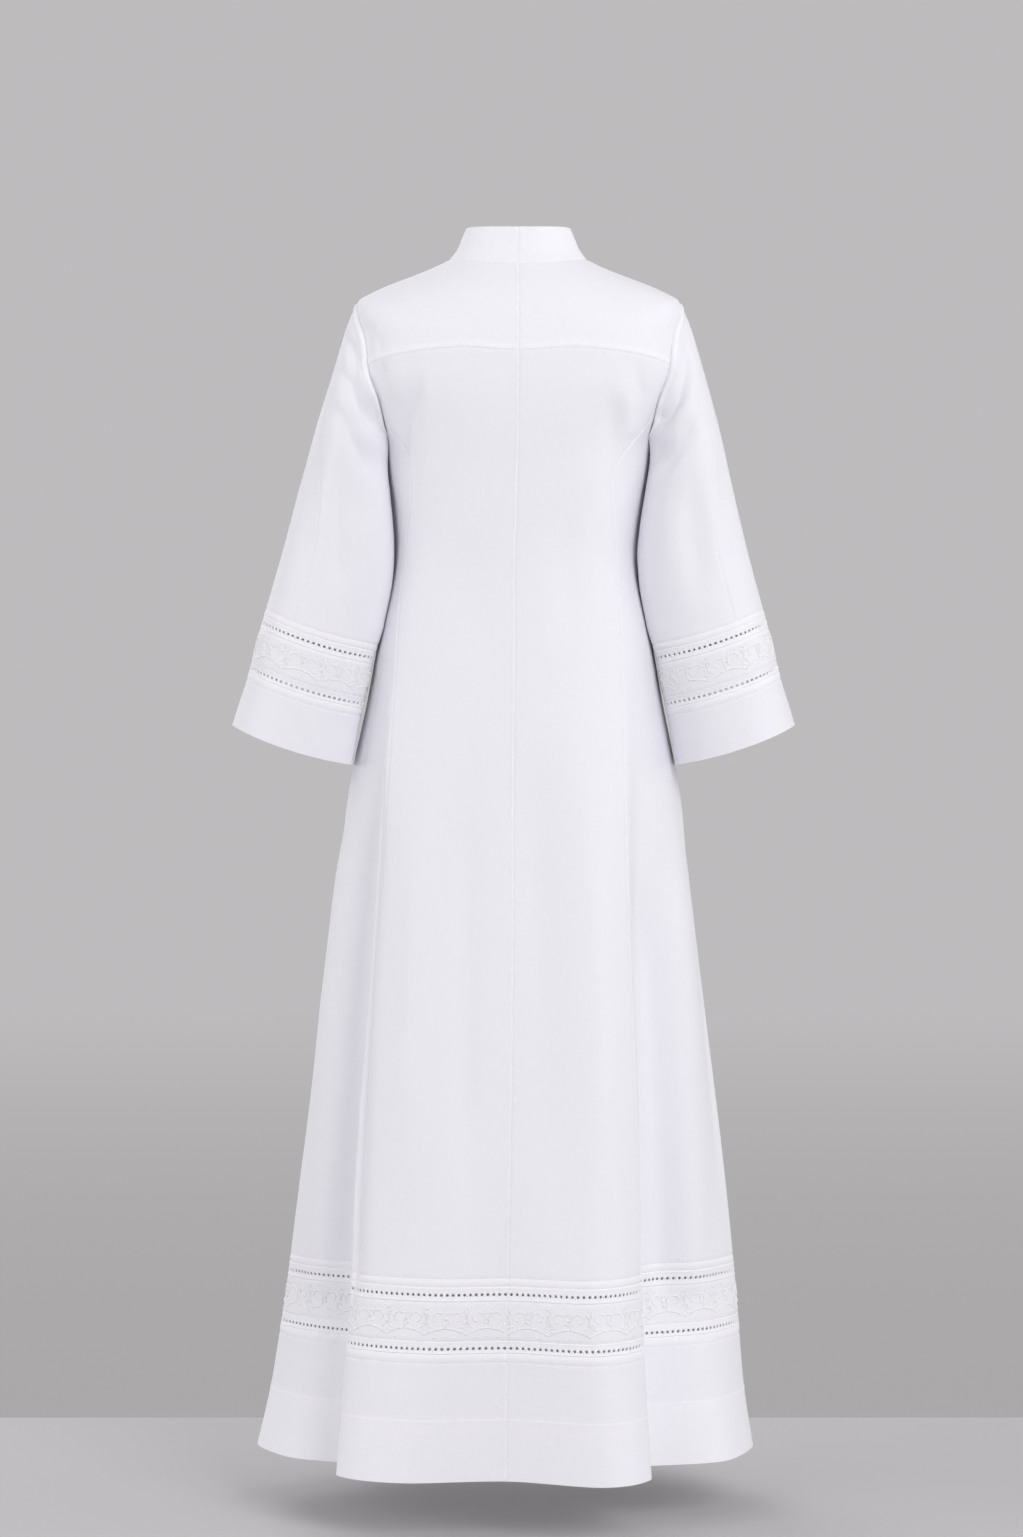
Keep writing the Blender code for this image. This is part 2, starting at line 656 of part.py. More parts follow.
def face_normal(corners):
    """Normal of a cell, as long as the cell is large."""
    return np.cross(corners[2] - corners[0], corners[3] - corners[1])


def normals_of(cells_of_piece, places):
    """Normal at each point that a set of cells uses."""
    found = {}
    for cell in cells_of_piece:
        normal = face_normal([places[number] for number in cell])
        for number in cell:
            found[number] = found.get(number, np.zeros(3)) + normal
    return {number: normal / np.linalg.norm(normal) for number, normal in found.items()}


def edge_shifts(cells_of_piece, places):
    """Border points of a piece, each with the move inwards that leaves half a seam gap."""
    owners = {}
    for cell in cells_of_piece:
        for start, end in zip(cell, cell[1:] + cell[:1]):
            owners.setdefault(frozenset((start, end)), []).append((start, end, cell))
    inwards = {}
    borders = []
    for found in owners.values():
        if len(found) == 1:
            start, end, cell = found[0]
            borders.append((start, end))
            along = places[end] - places[start]
            normal = face_normal([places[number] for number in cell])
            inward = np.cross(normal, along)
            inward /= np.linalg.norm(inward)
            inwards.setdefault(start, []).append(inward)
            inwards.setdefault(end, []).append(inward)
    shifts = {}
    for number, pair in inwards.items():
        total = pair[0] + pair[1]
        shifts[number] = 0.5 * SEAM_GAP * total / (1.0 + float(np.dot(pair[0], pair[1])))
    return shifts, borders


def cloth_wall(name, cells_of_piece, places, shared, raised, material):
    """One piece of cloth, as a closed wall inside the form's surface.

    At a seam the walls are mitred where their faces agree, and stand apart where the
    cloth turns back on itself, as at the underarm.
    """
    own = normals_of(cells_of_piece, places)
    shifts, borders = edge_shifts(cells_of_piece, places)
    order = sorted(own)
    index = {number: k for k, number in enumerate(order)}
    outer = []
    inner = []
    for number in order:
        normal = own[number]
        agree = float(np.dot(normal, shared[number]))
        thick = WALL + raised
        place = places[number] + raised * normal + shifts.get(number, 0.0)
        if agree > MITRE_LIMIT:
            inner.append(place - shared[number] * thick / agree)
        else:
            place = place - 0.5 * SEAM_GAP * normal
            inner.append(place - normal * thick)
        outer.append(place)
    count = len(order)
    faces = []
    for cell in cells_of_piece:
        a, b, c, d = (index[number] for number in cell)
        first = np.linalg.norm(outer[a] - outer[c])
        second = np.linalg.norm(outer[b] - outer[d])
        halves = ((a, b, c), (a, c, d)) if first <= second else ((a, b, d), (b, c, d))
        for face in halves:
            faces.append(face)
            faces.append(tuple(corner + count for corner in face[::-1]))
    for start, end in borders:
        a = index[start]
        b = index[end]
        faces.append((b, a, a + count))
        faces.append((b, a + count, b + count))
    mesh = bpy.data.meshes.new(name)
    mesh.from_pydata([tuple(place) for place in outer + inner], [], faces)
    mesh.materials.append(material)
    mesh.shade_smooth()
    mesh.set_sharp_from_angle(angle=SHARP_ANGLE)
    obj = bpy.data.objects.new(name, mesh)
    bpy.context.scene.collection.objects.link(obj)
    return obj


def build():
    """The whole robe."""
    clear_scene()
    points = Points()
    grid = body_grid(points)
    collar, collar_count = collar_grid(points, grid)
    pieces = body_pieces(grid)
    pieces.update(collar_pieces(collar, collar_count))
    for side in (1, -1):
        sleeve, count = sleeve_grid(points, grid, side)
        pieces.update(sleeve_pieces(sleeve, count, side))
    shared = normals_of([cell for found in pieces.values() for cell in found], points.places)
    robe = bpy.data.objects.new("robe", None)
    bpy.context.scene.collection.objects.link(robe)
    for name, found in pieces.items():
        banded = "band" in name
        finish = BAND_CLOTH if banded else CLOTH
        material = cloth_material(f"{finish[0]}_{name}", finish[1], finish[2])
        raised = BAND_RAISE if banded else 0.0
        wall = cloth_wall(name, found, points.places, shared, raised, material)
        wall.parent = robe


build()
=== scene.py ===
"""The looks of a white alb robe, in the form it has when it is worn.

Metres, +Z up. The front faces -Y and the wearer's left is +X. Each piece of cloth is a
thin shell on the form that its solid has, with its folds, seams, hem and openwork bands.
"""

from __future__ import annotations

import logging
import math
from collections.abc import Callable
from dataclasses import dataclass
from enum import Enum

import bpy
import numpy as np
from mathutils import Euler, Matrix, Vector
from mathutils.kdtree import KDTree


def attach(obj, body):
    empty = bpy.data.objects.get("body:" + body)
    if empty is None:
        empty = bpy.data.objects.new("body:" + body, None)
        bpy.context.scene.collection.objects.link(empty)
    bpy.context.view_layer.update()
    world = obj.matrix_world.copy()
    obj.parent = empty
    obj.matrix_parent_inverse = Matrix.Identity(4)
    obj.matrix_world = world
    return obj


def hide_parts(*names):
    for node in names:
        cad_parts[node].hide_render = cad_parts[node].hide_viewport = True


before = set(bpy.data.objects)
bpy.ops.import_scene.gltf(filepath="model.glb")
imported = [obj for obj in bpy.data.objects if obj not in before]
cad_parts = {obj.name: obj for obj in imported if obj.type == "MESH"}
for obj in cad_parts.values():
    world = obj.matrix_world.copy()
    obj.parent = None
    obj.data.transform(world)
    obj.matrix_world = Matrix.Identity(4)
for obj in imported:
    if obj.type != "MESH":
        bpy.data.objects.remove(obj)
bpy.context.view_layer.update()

LOG = logging.getLogger("robe")
MM = 0.001

Array = np.ndarray
Object = bpy.types.Object
Block = tuple[int, int, int, int]
Grid = dict[tuple[int, int], Array]
Pair = tuple[float, float]
Triple = tuple[float, float, float]
Four = tuple[float, float, float, float]
Settings = tuple[tuple[str, float], ...]

# Rings of the body from the neckline down, in millimetres. The upper ones tilt, so each has
# its own height at the centre back, at the side and at the centre front.
RING_COLUMNS = (
    "back_z", "side_z", "front_z", "half_width", "back_y", "front_y", "centre_x", "squareness",
)
TILTED_RINGS = (
    (0, 11, -50, 80.4, 65, -85, -4, 2.00),
    (-28, -5, -78, 115, 87.5, -102, -4.2, 2.10),
    (-58, -18, -103, 150, 102, -113, -4.4, 2.30),
    (-88, -38, -125, 186.6, 110, -120, -4.4, 2.50),
    (-112, -80, -145, 188, 114, -124.5, -4.4, 2.60),
    (-140, -120, -163, 187, 116.5, -127, -4.4, 2.60),
    (-170, -160, -182, 170, 117, -128.5, -4.2, 2.50),
)
LEVEL_RINGS = (
    (-200, 153.5, 115.5, -128, -4, 2.40),
    (-240, 148, 112.5, -123.5, -3.3, 2.35),
    (-298, 139.5, 110, -115, -1.7, 2.30),
    (-340, 138.2, 109.5, -111, 0, 2.25),
    (-388, 147.5, 112, -112, 0, 2.20),
    (-442, 159, 117, -116, 0, 2.20),
    (-509, 171, 124, -122, 0.5, 2.15),
    (-576, 185.5, 131, -128, 1.2, 2.15),
    (-660, 198.5, 140, -136, 1.5, 2.10),
    (-765, 211.5, 151, -145, 1.5, 2.10),
    (-890, 228, 164.5, -156, 2.5, 2.10),
    (-1020, 246, 177.5, -167.5, 4.1, 2.10),
    (-1148, 261.5, 190, -178, 6.1, 2.10),
    (-1239, 271, 199, -186, 8.3, 2.10),
    (-1302, 277.5, 204.5, -191, 10.2, 2.10),
    (-1368, 288.6, 210, -196, 12.2, 2.10),
)
RINGS = np.array([*TILTED_RINGS, *((row[0],) * 3 + row[1:] for row in LEVEL_RINGS)])
RINGS[:, :-1] *= MM
BAND_TOP = -1.148
BAND_BOTTOM = -1.239
HEM_STITCH = -1.302
HEM = -1.368
BAND_MIDDLE = -1.19

# Princess seams, in millimetres: height, and place sideways of the left and the right seam.
PRINCESS_SEAM = MM * np.array((
    (-240, 120.5, -115),
    (-300, 122.5, -114),
    (-370, 132, -118),
    (-480, 137.5, -123),
    (-700, 153, -126.5),
    (-865, 165, -133.8),
    (-1005, 176.5, -138),
    (-1190, 184, -141),
    (-1368, 199, -151),
))

# Rows of the body's control net: rings at the centre back and the centre front down to the
# underarm, then level heights.
SHOULDER_ROWS = 4
YOKE_ROWS = 8
UPPER_BACK_RINGS = (0.0, 0.5, 1.0, 1.45, 1.9, 2.35, 2.8, 3.25, 3.73, 4.6, 5.4, 6.1, 6.8)
UPPER_FRONT_RINGS = (0.0, 0.5, 1.0, 1.5, 2.0, 2.5, 3.0, 3.5, 4.0, 4.7, 5.4, 6.05, 6.7)
LEVEL_ROWS = (
    -0.240, -0.298, -0.345, -0.392, -0.445, -0.510, -0.585, -0.680, -0.790, -0.910,
    -1.030, BAND_TOP, -1.1935, BAND_BOTTOM, HEM_STITCH, HEM,
)

# Rings of a sleeve from the armhole down, in millimetres: its outer and its inner line, its
# depth to the back and to the front, how far the ring droops there, and its shift sideways.
SLEEVE_COLUMNS = ("outer_x", "outer_z", "inner_x", "inner_z", "half_depth", "droop", "centre_x")
SLEEVE_RINGS = MM * np.array((
    (186.6, -38, 153.2, -197, 62, 0, -4.4),
    (199, -64, 158, -206, 66, 0, -4.4),
    (210, -100, 159.2, -217, 69, 0, -4.4),
    (222, -140, 158.5, -230, 70, 1, -4),
    (234, -182, 156, -248, 70, 2, -3.2),
    (244.5, -224, 152.5, -272, 70, 3, -2.2),
    (255.5, -268, 147.5, -307, 70, 4, -1.2),
    (266, -311, 146.5, -350, 70.5, 5, -0.6),
    (277.5, -354, 152.5, -393, 71, 6, 0),
    (289.1, -395.4, 163, -436.4, 72, 6, 0.4),
    (300, -436, 171.5, -478, 73, 6, 0.8),
    (310.4, -476.6, 180.5, -519.2, 74.5, 6, 1.1),
    (319, -503.5, 185, -547.6, 75.5, 6, 1.3),
    (327.2, -530.4, 190, -576, 76.5, 6, 1.5),
))
SLEEVE_END = len(SLEEVE_RINGS) - 1
SLEEVE_BAND_TOP = 9
SLEEVE_BAND_BOTTOM = 11

SEARCH_STEPS = 40
SEARCH_START = 0.02

# Fine lattice: steps to a control cell.
REFINE = 3
FINE = 2**REFINE
FIT_ROUNDS = 6
STRETCH_SPACING = 100
MARK_SLACK = 0.01
SLACK = 1e-6
MICRONS = 1e6


def smooth_step(share: float | Array) -> float | Array:
    """0 to 1 with level ends, of a number or an array."""
    share = np.clip(share, 0.0, 1.0)
    return share * share * (3.0 - 2.0 * share)


def row_between(table: Array, place: float) -> Array:
    """A row of the smooth curve through a table's rows.

    Args:
        table: the rows, as an array.
        place: the row's number, which may lie between two rows.

    Returns:
        The row at that place.
    """
    last = len(table) - 1
    k = min(max(int(place), 0), last - 1)
    t = place - k
    before = table[max(k - 1, 0)]
    start = table[k]
    end = table[k + 1]
    after = table[min(k + 2, last)]
    slope = end - before
    bend = 2.0 * before - 5.0 * start + 4.0 * end - after
    twist = -before + 3.0 * start - 3.0 * end + after
    return start + 0.5 * (slope * t + bend * t**2 + twist * t**3)


def hermite(t: float, span: float, ends: tuple, slopes: tuple) -> float | Array:
    """A cubic between two values.

    Args:
        t: the share of the span.
        span: its length.
        ends: the values at its two ends.
        slopes: the slopes there.

    Returns:
        The value at that share.
    """
    return (
        (2 * t**3 - 3 * t**2 + 1) * ends[0]
        + (t**3 - 2 * t**2 + t) * span * slopes[0]
        + (3 * t**2 - 2 * t**3) * ends[1]
        + (t**3 - t**2) * span * slopes[1]
    )


def square_turn(turn: float, squareness: float) -> Pair:
    """Across and along shares of a rounded square at a turn in radians.

    Args:
        turn: the turn.
        squareness: 2 for a circle, more for a squarer shape.

    Returns:
        The two shares.
    """
    across = math.sin(turn)
    along = math.cos(turn)
    reach = (abs(across) ** squareness + abs(along) ** squareness) ** (-1.0 / squareness)
    return across * reach, along * reach


def run_along(line: Array) -> Array:
    """Distance of each point of a line from its first."""
    return np.concatenate([[0.0], np.cumsum(np.linalg.norm(np.diff(line, axis=0), axis=1))])


def unit(vectors: Array) -> Array:
    """Vectors, one in a row, at a length of one."""
    return vectors / np.linalg.norm(vectors, axis=1)[:, None]


def linked(name: str, data: bpy.types.ID) -> Object:
    """A new object in the scene."""
    obj = bpy.data.objects.new(name, data)
    bpy.context.scene.collection.objects.link(obj)
    return obj


def evaluated_mesh(obj: Object) -> bpy.types.Mesh:
    """An object's shape with its modifier at work, as a plain mesh."""
    bpy.context.view_layer.update()
    graph = bpy.context.evaluated_depsgraph_get()
    return bpy.data.meshes.new_from_object(obj.evaluated_get(graph))


def read(items: bpy.types.bpy_prop_collection, name: str, width: int, kind: type) -> Array:
    """A property of every item of a mesh.

    Args:
        items: the items.
        name: the property.
        width: how many numbers it has.
        kind: their type.

    Returns:
        The numbers, with a row for each item.
    """
    values = np.empty(len(items) * width, kind)
    items.foreach_get(name, values)
    return values.reshape(-1, width)


def crossing(low: float, high: float, holds: Callable[[float], bool]) -> float:
    """The place between two at which a test stops holding.

    Args:
        low: a place where it holds.
        high: a place where it doesn't.
        holds: the test.

    Returns:
        The place.
    """
    for _ in range(SEARCH_STEPS):
        middle = 0.5 * (low + high)
        if holds(middle):
            low = middle
        else:
            high = middle
    return 0.5 * (low + high)


@dataclass(frozen=True)
class Guide:
    """A lengthwise line by which the folds of the skirt are set.

    It runs at an angle in degrees from the centre back, or at a share of the way to the
    princess seam (1) and on to the side (2). Left and right are its places in plan, in
    millimetres: x and y at the middle of the band, then x and y at the hem.
    """

    name: str
    angle: float | None
    share: float | None
    columns: int
    left: Four
    right: Four


GUIDES = (
    Guide("centre_back", 0, None, 4, (8, 216, 9.3, 239), (8, 216, 9.3, 239)),
    Guide("back_bulge", None, 0.50, 5, (94.3, 222, 126.6, 249), (-83, 242, -96.3, 276)),
    Guide("princess", None, 1.00, 4, (184, 168, 199, 200), (-141, 186, -151, 226)),
    Guide("back_valley", None, 1.25, 2, (169, 90, 184, 129), (-133, 108, -141, 148)),
    Guide("side_bulge", None, 1.60, 3, (224, 43, 252, 94), (-210, 64, -233, 118)),
    Guide("side", 90, None, 4, (266.5, -12, 300, 0), (-257.5, -8, -277, 5)),
    Guide("side_front", 112, None, 3, (242, -72, 268, -80), (-233, -74, -250, -85)),
    Guide("front_valley", 130, None, 3, (190, -120, 208, -132), (-180, -118, -195, -130)),
    Guide("front_ridge", 145, None, 3, (152, -178, 168, -203), (-142, -174, -152, -206)),
    Guide("front_middle", 162, None, 3, (80, -193, 92, -216), (-68, -195, -76, -220)),
    Guide("centre_front", 180, None, 0, (8, -184, 12, -205), (8, -184, 12, -205)),
)
GUIDE_NAMES = [guide.name for guide in GUIDES]
PRINCESS = GUIDE_NAMES.index("princess")
STARTS = [sum(guide.columns for guide in GUIDES[:k]) for k in range(len(GUIDES))]
HALF = STARTS[-1]
PRINCESS_COLUMN = STARTS[PRINCESS]
SIDE_COLUMN = STARTS[GUIDE_NAMES.index("side")]
EDGE_COLUMN = STARTS[GUIDE_NAMES.index("side_front")]
UPPER = len(UPPER_BACK_RINGS) - 1
BAND_TOP_ROW = UPPER + 1 + LEVEL_ROWS.index(BAND_TOP)
BAND_BOTTOM_ROW = UPPER + 1 + LEVEL_ROWS.index(BAND_BOTTOM)
HEM_STITCH_ROW = UPPER + 1 + LEVEL_ROWS.index(HEM_STITCH)
HEM_ROW = UPPER + len(LEVEL_ROWS)
UNDER_COLUMN = UPPER - SHOULDER_ROWS + SIDE_COLUMN - PRINCESS_COLUMN


@dataclass(frozen=True)
class Armhole:
    """The armhole: an egg in the side view, from the shoulder point to the underarm."""

    top: float = -0.038
    bottom: float = -0.197
    back: float = 0.062
    front: float = 0.060
    egg: float = 0.12
    princess_turn: float = 135.0
    turns: tuple[int, ...] = (0, 22, 45, 68, 90, 102, 114, 125, 135)

    def side_view(self, turn: float) -> Pair:
        """Y and z of the egg at a turn in radians from the shoulder point to the back.

        Args:
            turn: the turn.

        Returns:
            Y and z.
        """
        depth = self.back if math.sin(turn) >= 0 else self.front
        y = depth * math.sin(turn) * (1.0 - self.egg * math.cos(turn))
        middle_z = 0.5 * (self.top + self.bottom)
        return y, middle_z + 0.5 * (self.top - self.bottom) * math.cos(turn)

    def underarm_degrees(self, column: int) -> float:
        """Turn of the egg at a body column of its lower edge.

        Args:
            column: the column.

        Returns:
            The turn in degrees.
        """
        rest = 180.0 - self.princess_turn
        if column <= SIDE_COLUMN:
            share = (column - PRINCESS_COLUMN) / (SIDE_COLUMN - PRINCESS_COLUMN)
            return self.princess_turn + rest * share
        return 180.0 + rest * (column - SIDE_COLUMN) / (EDGE_COLUMN - SIDE_COLUMN)


@dataclass(frozen=True)
class YokeEdge:
    """The lower edge of the yoke."""

    back_z: float = -0.1056
    high_z: float = -0.1020
    high_at: float = 0.33
    side_z: float = -0.1175
    fall: float = 1.5

    def height(self, share: float) -> float:
        """Height at a share of the way from the centre back to the armhole.

        Args:
            share: the share.

        Returns:
            The height.
        """
        if share < self.high_at:
            return self.back_z + (self.high_z - self.back_z) * smooth_step(share / self.high_at)
        rest = (share - self.high_at) / (1.0 - self.high_at)
        return self.high_z + (self.side_z - self.high_z) * rest**self.fall


@dataclass(frozen=True)
class BodyForm:
    """The body of the robe from the neckline to the hem, as rows of control points."""

    armhole: Armhole = Armhole()
    yoke: YokeEdge = YokeEdge()
    tip_ring: int = 3
    fold_top: float = -0.44
    fold_power: float = 1.2
    princess_reach: float = 0.995
    row_bend: float = 1.5
    spread_reach: float = 3.0

    @staticmethod
    def ring(number: float) -> dict[str, float]:
        """A ring's sizes by name."""
        return dict(zip(RING_COLUMNS, row_between(RINGS, number)))

    def point(self, turn: float, ring_number: float) -> Array:
        """A point of the smooth body, at a turn in radians round from the centre back.

        Args:
            turn: the turn.
            ring_number: the ring, which may lie between two.

        Returns:
            The point.
        """
        ring = self.ring(ring_number)
        across, along = square_turn(turn, ring["squareness"])
        end_y = ring["back_y"] if along >= 0 else -ring["front_y"]
        end_z = ring["back_z"] if along >= 0 else ring["front_z"]
        return np.array((
            ring["centre_x"] + ring["half_width"] * across,
            end_y * along,
            ring["side_z"] + (end_z - ring["side_z"]) * along**2,
        ))

    def ring_at(self, turn: float, z: float) -> float:
        """The ring number whose point at this turn has this height."""
        return crossing(0.0, len(RINGS) - 1.0, lambda number: self.point(turn, number)[2] > z)

    def armhole_place(self, turn: float) -> Pair:
        """Turn round the body and ring number of the armhole's edge at a turn of its egg.

        Args:
            turn: the turn of the egg.

        Returns:
            The turn and the number.
        """
        y, z = self.armhole.side_view(turn)

        def outside(around: float) -> bool:
            """Whether the body reaches past the egg at a turn round it."""
            return abs(self.point(around, self.ring_at(around, z))[1]) > abs(y)

        near = math.pi - SEARCH_START if y < 0 else SEARCH_START
        around = crossing(near, 0.5 * math.pi, outside)
        return around, self.ring_at(around, z)

    def guide_turns(self, side: int, z: float, shift_x: float) -> list[float]:
        """Turn of each guide line at a height.

        Args:
            side: 1 on the wearer's left, -1 on the right.
            z: the height.
            shift_x: how far a fold moves the princess seam sideways there.

        Returns:
            The turns in radians.
        """
        places = PRINCESS_SEAM[:, 1 if side > 0 else 2]
        x = float(np.interp(-z, -PRINCESS_SEAM[:, 0], places)) - shift_x
        ring = self.ring(self.ring_at(0.5 * math.pi, z))
        across = min(abs(x - ring["centre_x"]) / ring["half_width"], self.princess_reach)
        along = (1.0 - across ** ring["squareness"]) ** (1.0 / ring["squareness"])
        seam = math.atan2(across, along)
        turns = []
        for guide in GUIDES:
            if guide.share is None:
                turns.append(math.radians(guide.angle))
            elif guide.share <= 1.0:
                turns.append(seam * guide.share)
            else:
                turns.append(seam + (0.5 * math.pi - seam) * (guide.share - 1.0))
        return turns

    def guide_offsets(self, side: int, z: float, first: int) -> list[Pair]:
        """How far each guide line lies from the smooth body, in plan.

        Args:
            side: 1 on the wearer's left, -1 on the right.
            z: the height.
            first: where that height's x stands in a guide's places.

        Returns:
            The offsets in x and y.
        """
        ring_number = self.ring_at(0.5 * math.pi, z)
        found = []
        for guide, turn in zip(GUIDES, self.guide_turns(side, z, 0.0)):
            smooth = self.point(turn if side > 0 else 2.0 * math.pi - turn, ring_number)
            x, y = (guide.left if side > 0 else guide.right)[first : first + 2]
            found.append((MM * x - smooth[0], MM * y - smooth[1]))
        return found

    def fold_tables(self) -> list[Array]:
        """Offsets of all guide lines round the body, at the band and at the hem."""
        tables = []
        for z, first in ((BAND_MIDDLE, 0), (HEM, 2)):
            right = self.guide_offsets(-1, z, first)
            tables.append(np.array(self.guide_offsets(1, z, first) + right[-2:0:-1]))
        return tables

    @staticmethod
    def round_knots() -> Array:
        """Column of each guide line round the whole body, with the first again at the end."""
        return np.array(STARTS + [2 * HALF - start for start in STARTS[-2:0:-1]] + [2 * HALF])

    @staticmethod
    def rising(knots: Array, values: list, at: float) -> float:
        """Smooth curve through rising values, which never overshoots.

        Args:
            knots: where the values stand.
            values: the values.
            at: the place wanted.

        Returns:
            The curve's value there.
        """
        k = int(np.clip(np.searchsorted(knots, at, side="right") - 1, 0, len(knots) - 2))
        slopes = []
        for j in (k, k + 1):
            low = max(j - 1, 0)
            high = min(j + 1, len(knots) - 1)
            slope = (values[high] - values[low]) / (knots[high] - knots[low])
            steps = [
                (values[m + 1] - values[m]) / (knots[m + 1] - knots[m])
                for m in (j - 1, j)
                if 0 <= m < len(knots) - 1
            ]
            slopes.append(min(slope, 3.0 * min(steps)))
        span = knots[k + 1] - knots[k]
        return hermite((at - knots[k]) / span, span, (values[k], values[k + 1]), slopes)

    @staticmethod
    def periodic(knots: Array, values: Array, column: int) -> Array:
        """Smooth closed curve through the guide lines' values.

        Args:
            knots: columns of the guide lines, with the first again at the end.
            values: a value for each line.
            column: the column wanted.

        Returns:
            The curve's value there.
        """
        count = len(values)
        k = int(np.clip(np.searchsorted(knots, column, side="right") - 1, 0, count - 1))
        slopes = []
        for j in (k, k + 1):
            before = knots[j] - knots[j - 1] if j > 0 else knots[-1] - knots[-2]
            after = knots[j + 1] - knots[j] if j < count else knots[1] - knots[0]
            rise = values[(j + 1) % count] - values[(j - 1) % count]
            slopes.append(rise / (before + after))
        span = knots[k + 1] - knots[k]
        ends = (values[k], values[(k + 1) % count])
        return hermite((column - knots[k]) / span, span, ends, slopes)

    def level_row(self, z: float, tables: list[Array]) -> list[Array]:
        """Points of a level row round the body.

        Args:
            z: the row's height.
            tables: the guide lines' offsets at the band and at the hem.

        Returns:
            The points by column.
        """
        band, hem = tables
        if z > BAND_MIDDLE:
            share = (self.fold_top - z) / (self.fold_top - BAND_MIDDLE)
            offsets = band * min(max(share, 0.0), 1.0) ** self.fold_power
        else:
            offsets = band + (hem - band) * (BAND_MIDDLE - z) / (BAND_MIDDLE - HEM)
        left = self.guide_turns(1, z, offsets[PRINCESS][0])
        right = self.guide_turns(-1, z, offsets[-PRINCESS][0])
        turns = left + [2.0 * math.pi - turn for turn in right[-2::-1]]
        ring_number = self.ring_at(0.5 * math.pi, z)
        knots = self.round_knots()
        points = []
        for column in range(2 * HALF):
            point = self.point(self.rising(knots, turns, column), ring_number)
            shift = self.periodic(knots, offsets, column)
            points.append(point + np.array((shift[0], shift[1], 0.0)))
        return points

    def upper_row(self, row: int) -> dict[int, Pair]:
        """Places of an upper row on one side, without the armhole's columns.

        Args:
            row: the row's number.

        Returns:
            By column, the turn round the body and the ring number.
        """
        if row <= SHOULDER_ROWS:
            back_edge = front_edge = (0.5 * math.pi, self.tip_ring * row / SHOULDER_ROWS)
        else:
            turn = math.radians(self.armhole.turns[row - SHOULDER_ROWS])
            back_edge = self.armhole_place(turn)
            front_edge = self.armhole_place(-turn)
        places = {}
        for column in range(PRINCESS_COLUMN + 1):
            share = column / PRINCESS_COLUMN
            turn = back_edge[0] * share
            start = UPPER_BACK_RINGS[row]
            ring_number = start + (back_edge[1] - start) * share**self.row_bend
            if row == YOKE_ROWS and column < PRINCESS_COLUMN:
                ring_number = self.ring_at(turn, self.yoke.height(share))
            places[column] = (turn, ring_number)
        for column in range(EDGE_COLUMN, HALF + 1):
            share = (HALF - column) / (HALF - EDGE_COLUMN)
            turn = math.pi + (front_edge[0] - math.pi) * share
            start = UPPER_FRONT_RINGS[row]
            places[column] = (turn, start + (front_edge[1] - start) * share**self.row_bend)
        return places

    def spread_rows(self, points: dict, column: int, first: int, away: int) -> None:
        """Slide a column's points along its own line until their spacing is even.

        Args:
            points: the side's control points, changed in place.
            column: the column.
            first: the row above the first that moves; the row under the armhole ends them.
            away: how many columns the armhole is away, beside which the points stay.
        """
        last = UPPER + 1
        rows = list(range(first - 1, last + 2))
        line = np.array([points[row, column] for row in rows])
        run = run_along(line)
        slopes = (line[2:] - line[:-2]) / (run[2:] - run[:-2])[:, None]
        kept = 1.0 - smooth_step((away + 0.5) / self.spread_reach)
        for row in range(first + 1, last):
            even = run[1] + (run[-2] - run[1]) * (row - first) / (last - first)
            place = even + (run[row - rows[0]] - even) * kept
            k = int(np.clip(np.searchsorted(run, place) - 1, 1, len(run) - 3))
            span = run[k + 1] - run[k]
            share = (place - run[k]) / span
            ends = (line[k], line[k + 1])
            points[row, column] = hermite(share, span, ends, (slopes[k - 1], slopes[k]))

    def halves(self) -> dict[int, Grid]:
        """Control points of each side by row and by column from the centre back."""
        sides: dict[int, Grid] = {1: {}, -1: {}}
        for row in range(UPPER + 1):
            places = self.upper_row(row)
            if row == UPPER:
                for column in range(PRINCESS_COLUMN, EDGE_COLUMN + 1):
                    turn = math.radians(self.armhole.underarm_degrees(column))
                    places[column] = self.armhole_place(turn)
            for column, (turn, ring_number) in places.items():
                sides[1][row, column] = self.point(turn, ring_number)
                sides[-1][row, column] = self.point(2.0 * math.pi - turn, ring_number)
        tables = self.fold_tables()
        for step, z in enumerate(LEVEL_ROWS):
            points = self.level_row(z, tables)
            for column in range(HALF + 1):
                sides[1][UPPER + 1 + step, column] = points[column]
                sides[-1][UPPER + 1 + step, column] = points[-column]
        for points in sides.values():
            for column in range(PRINCESS_COLUMN):
                self.spread_rows(points, column, YOKE_ROWS, PRINCESS_COLUMN - column)
            for column in range(EDGE_COLUMN + 1, HALF + 1):
                self.spread_rows(points, column, YOKE_ROWS - 1, column - EDGE_COLUMN)
        return sides


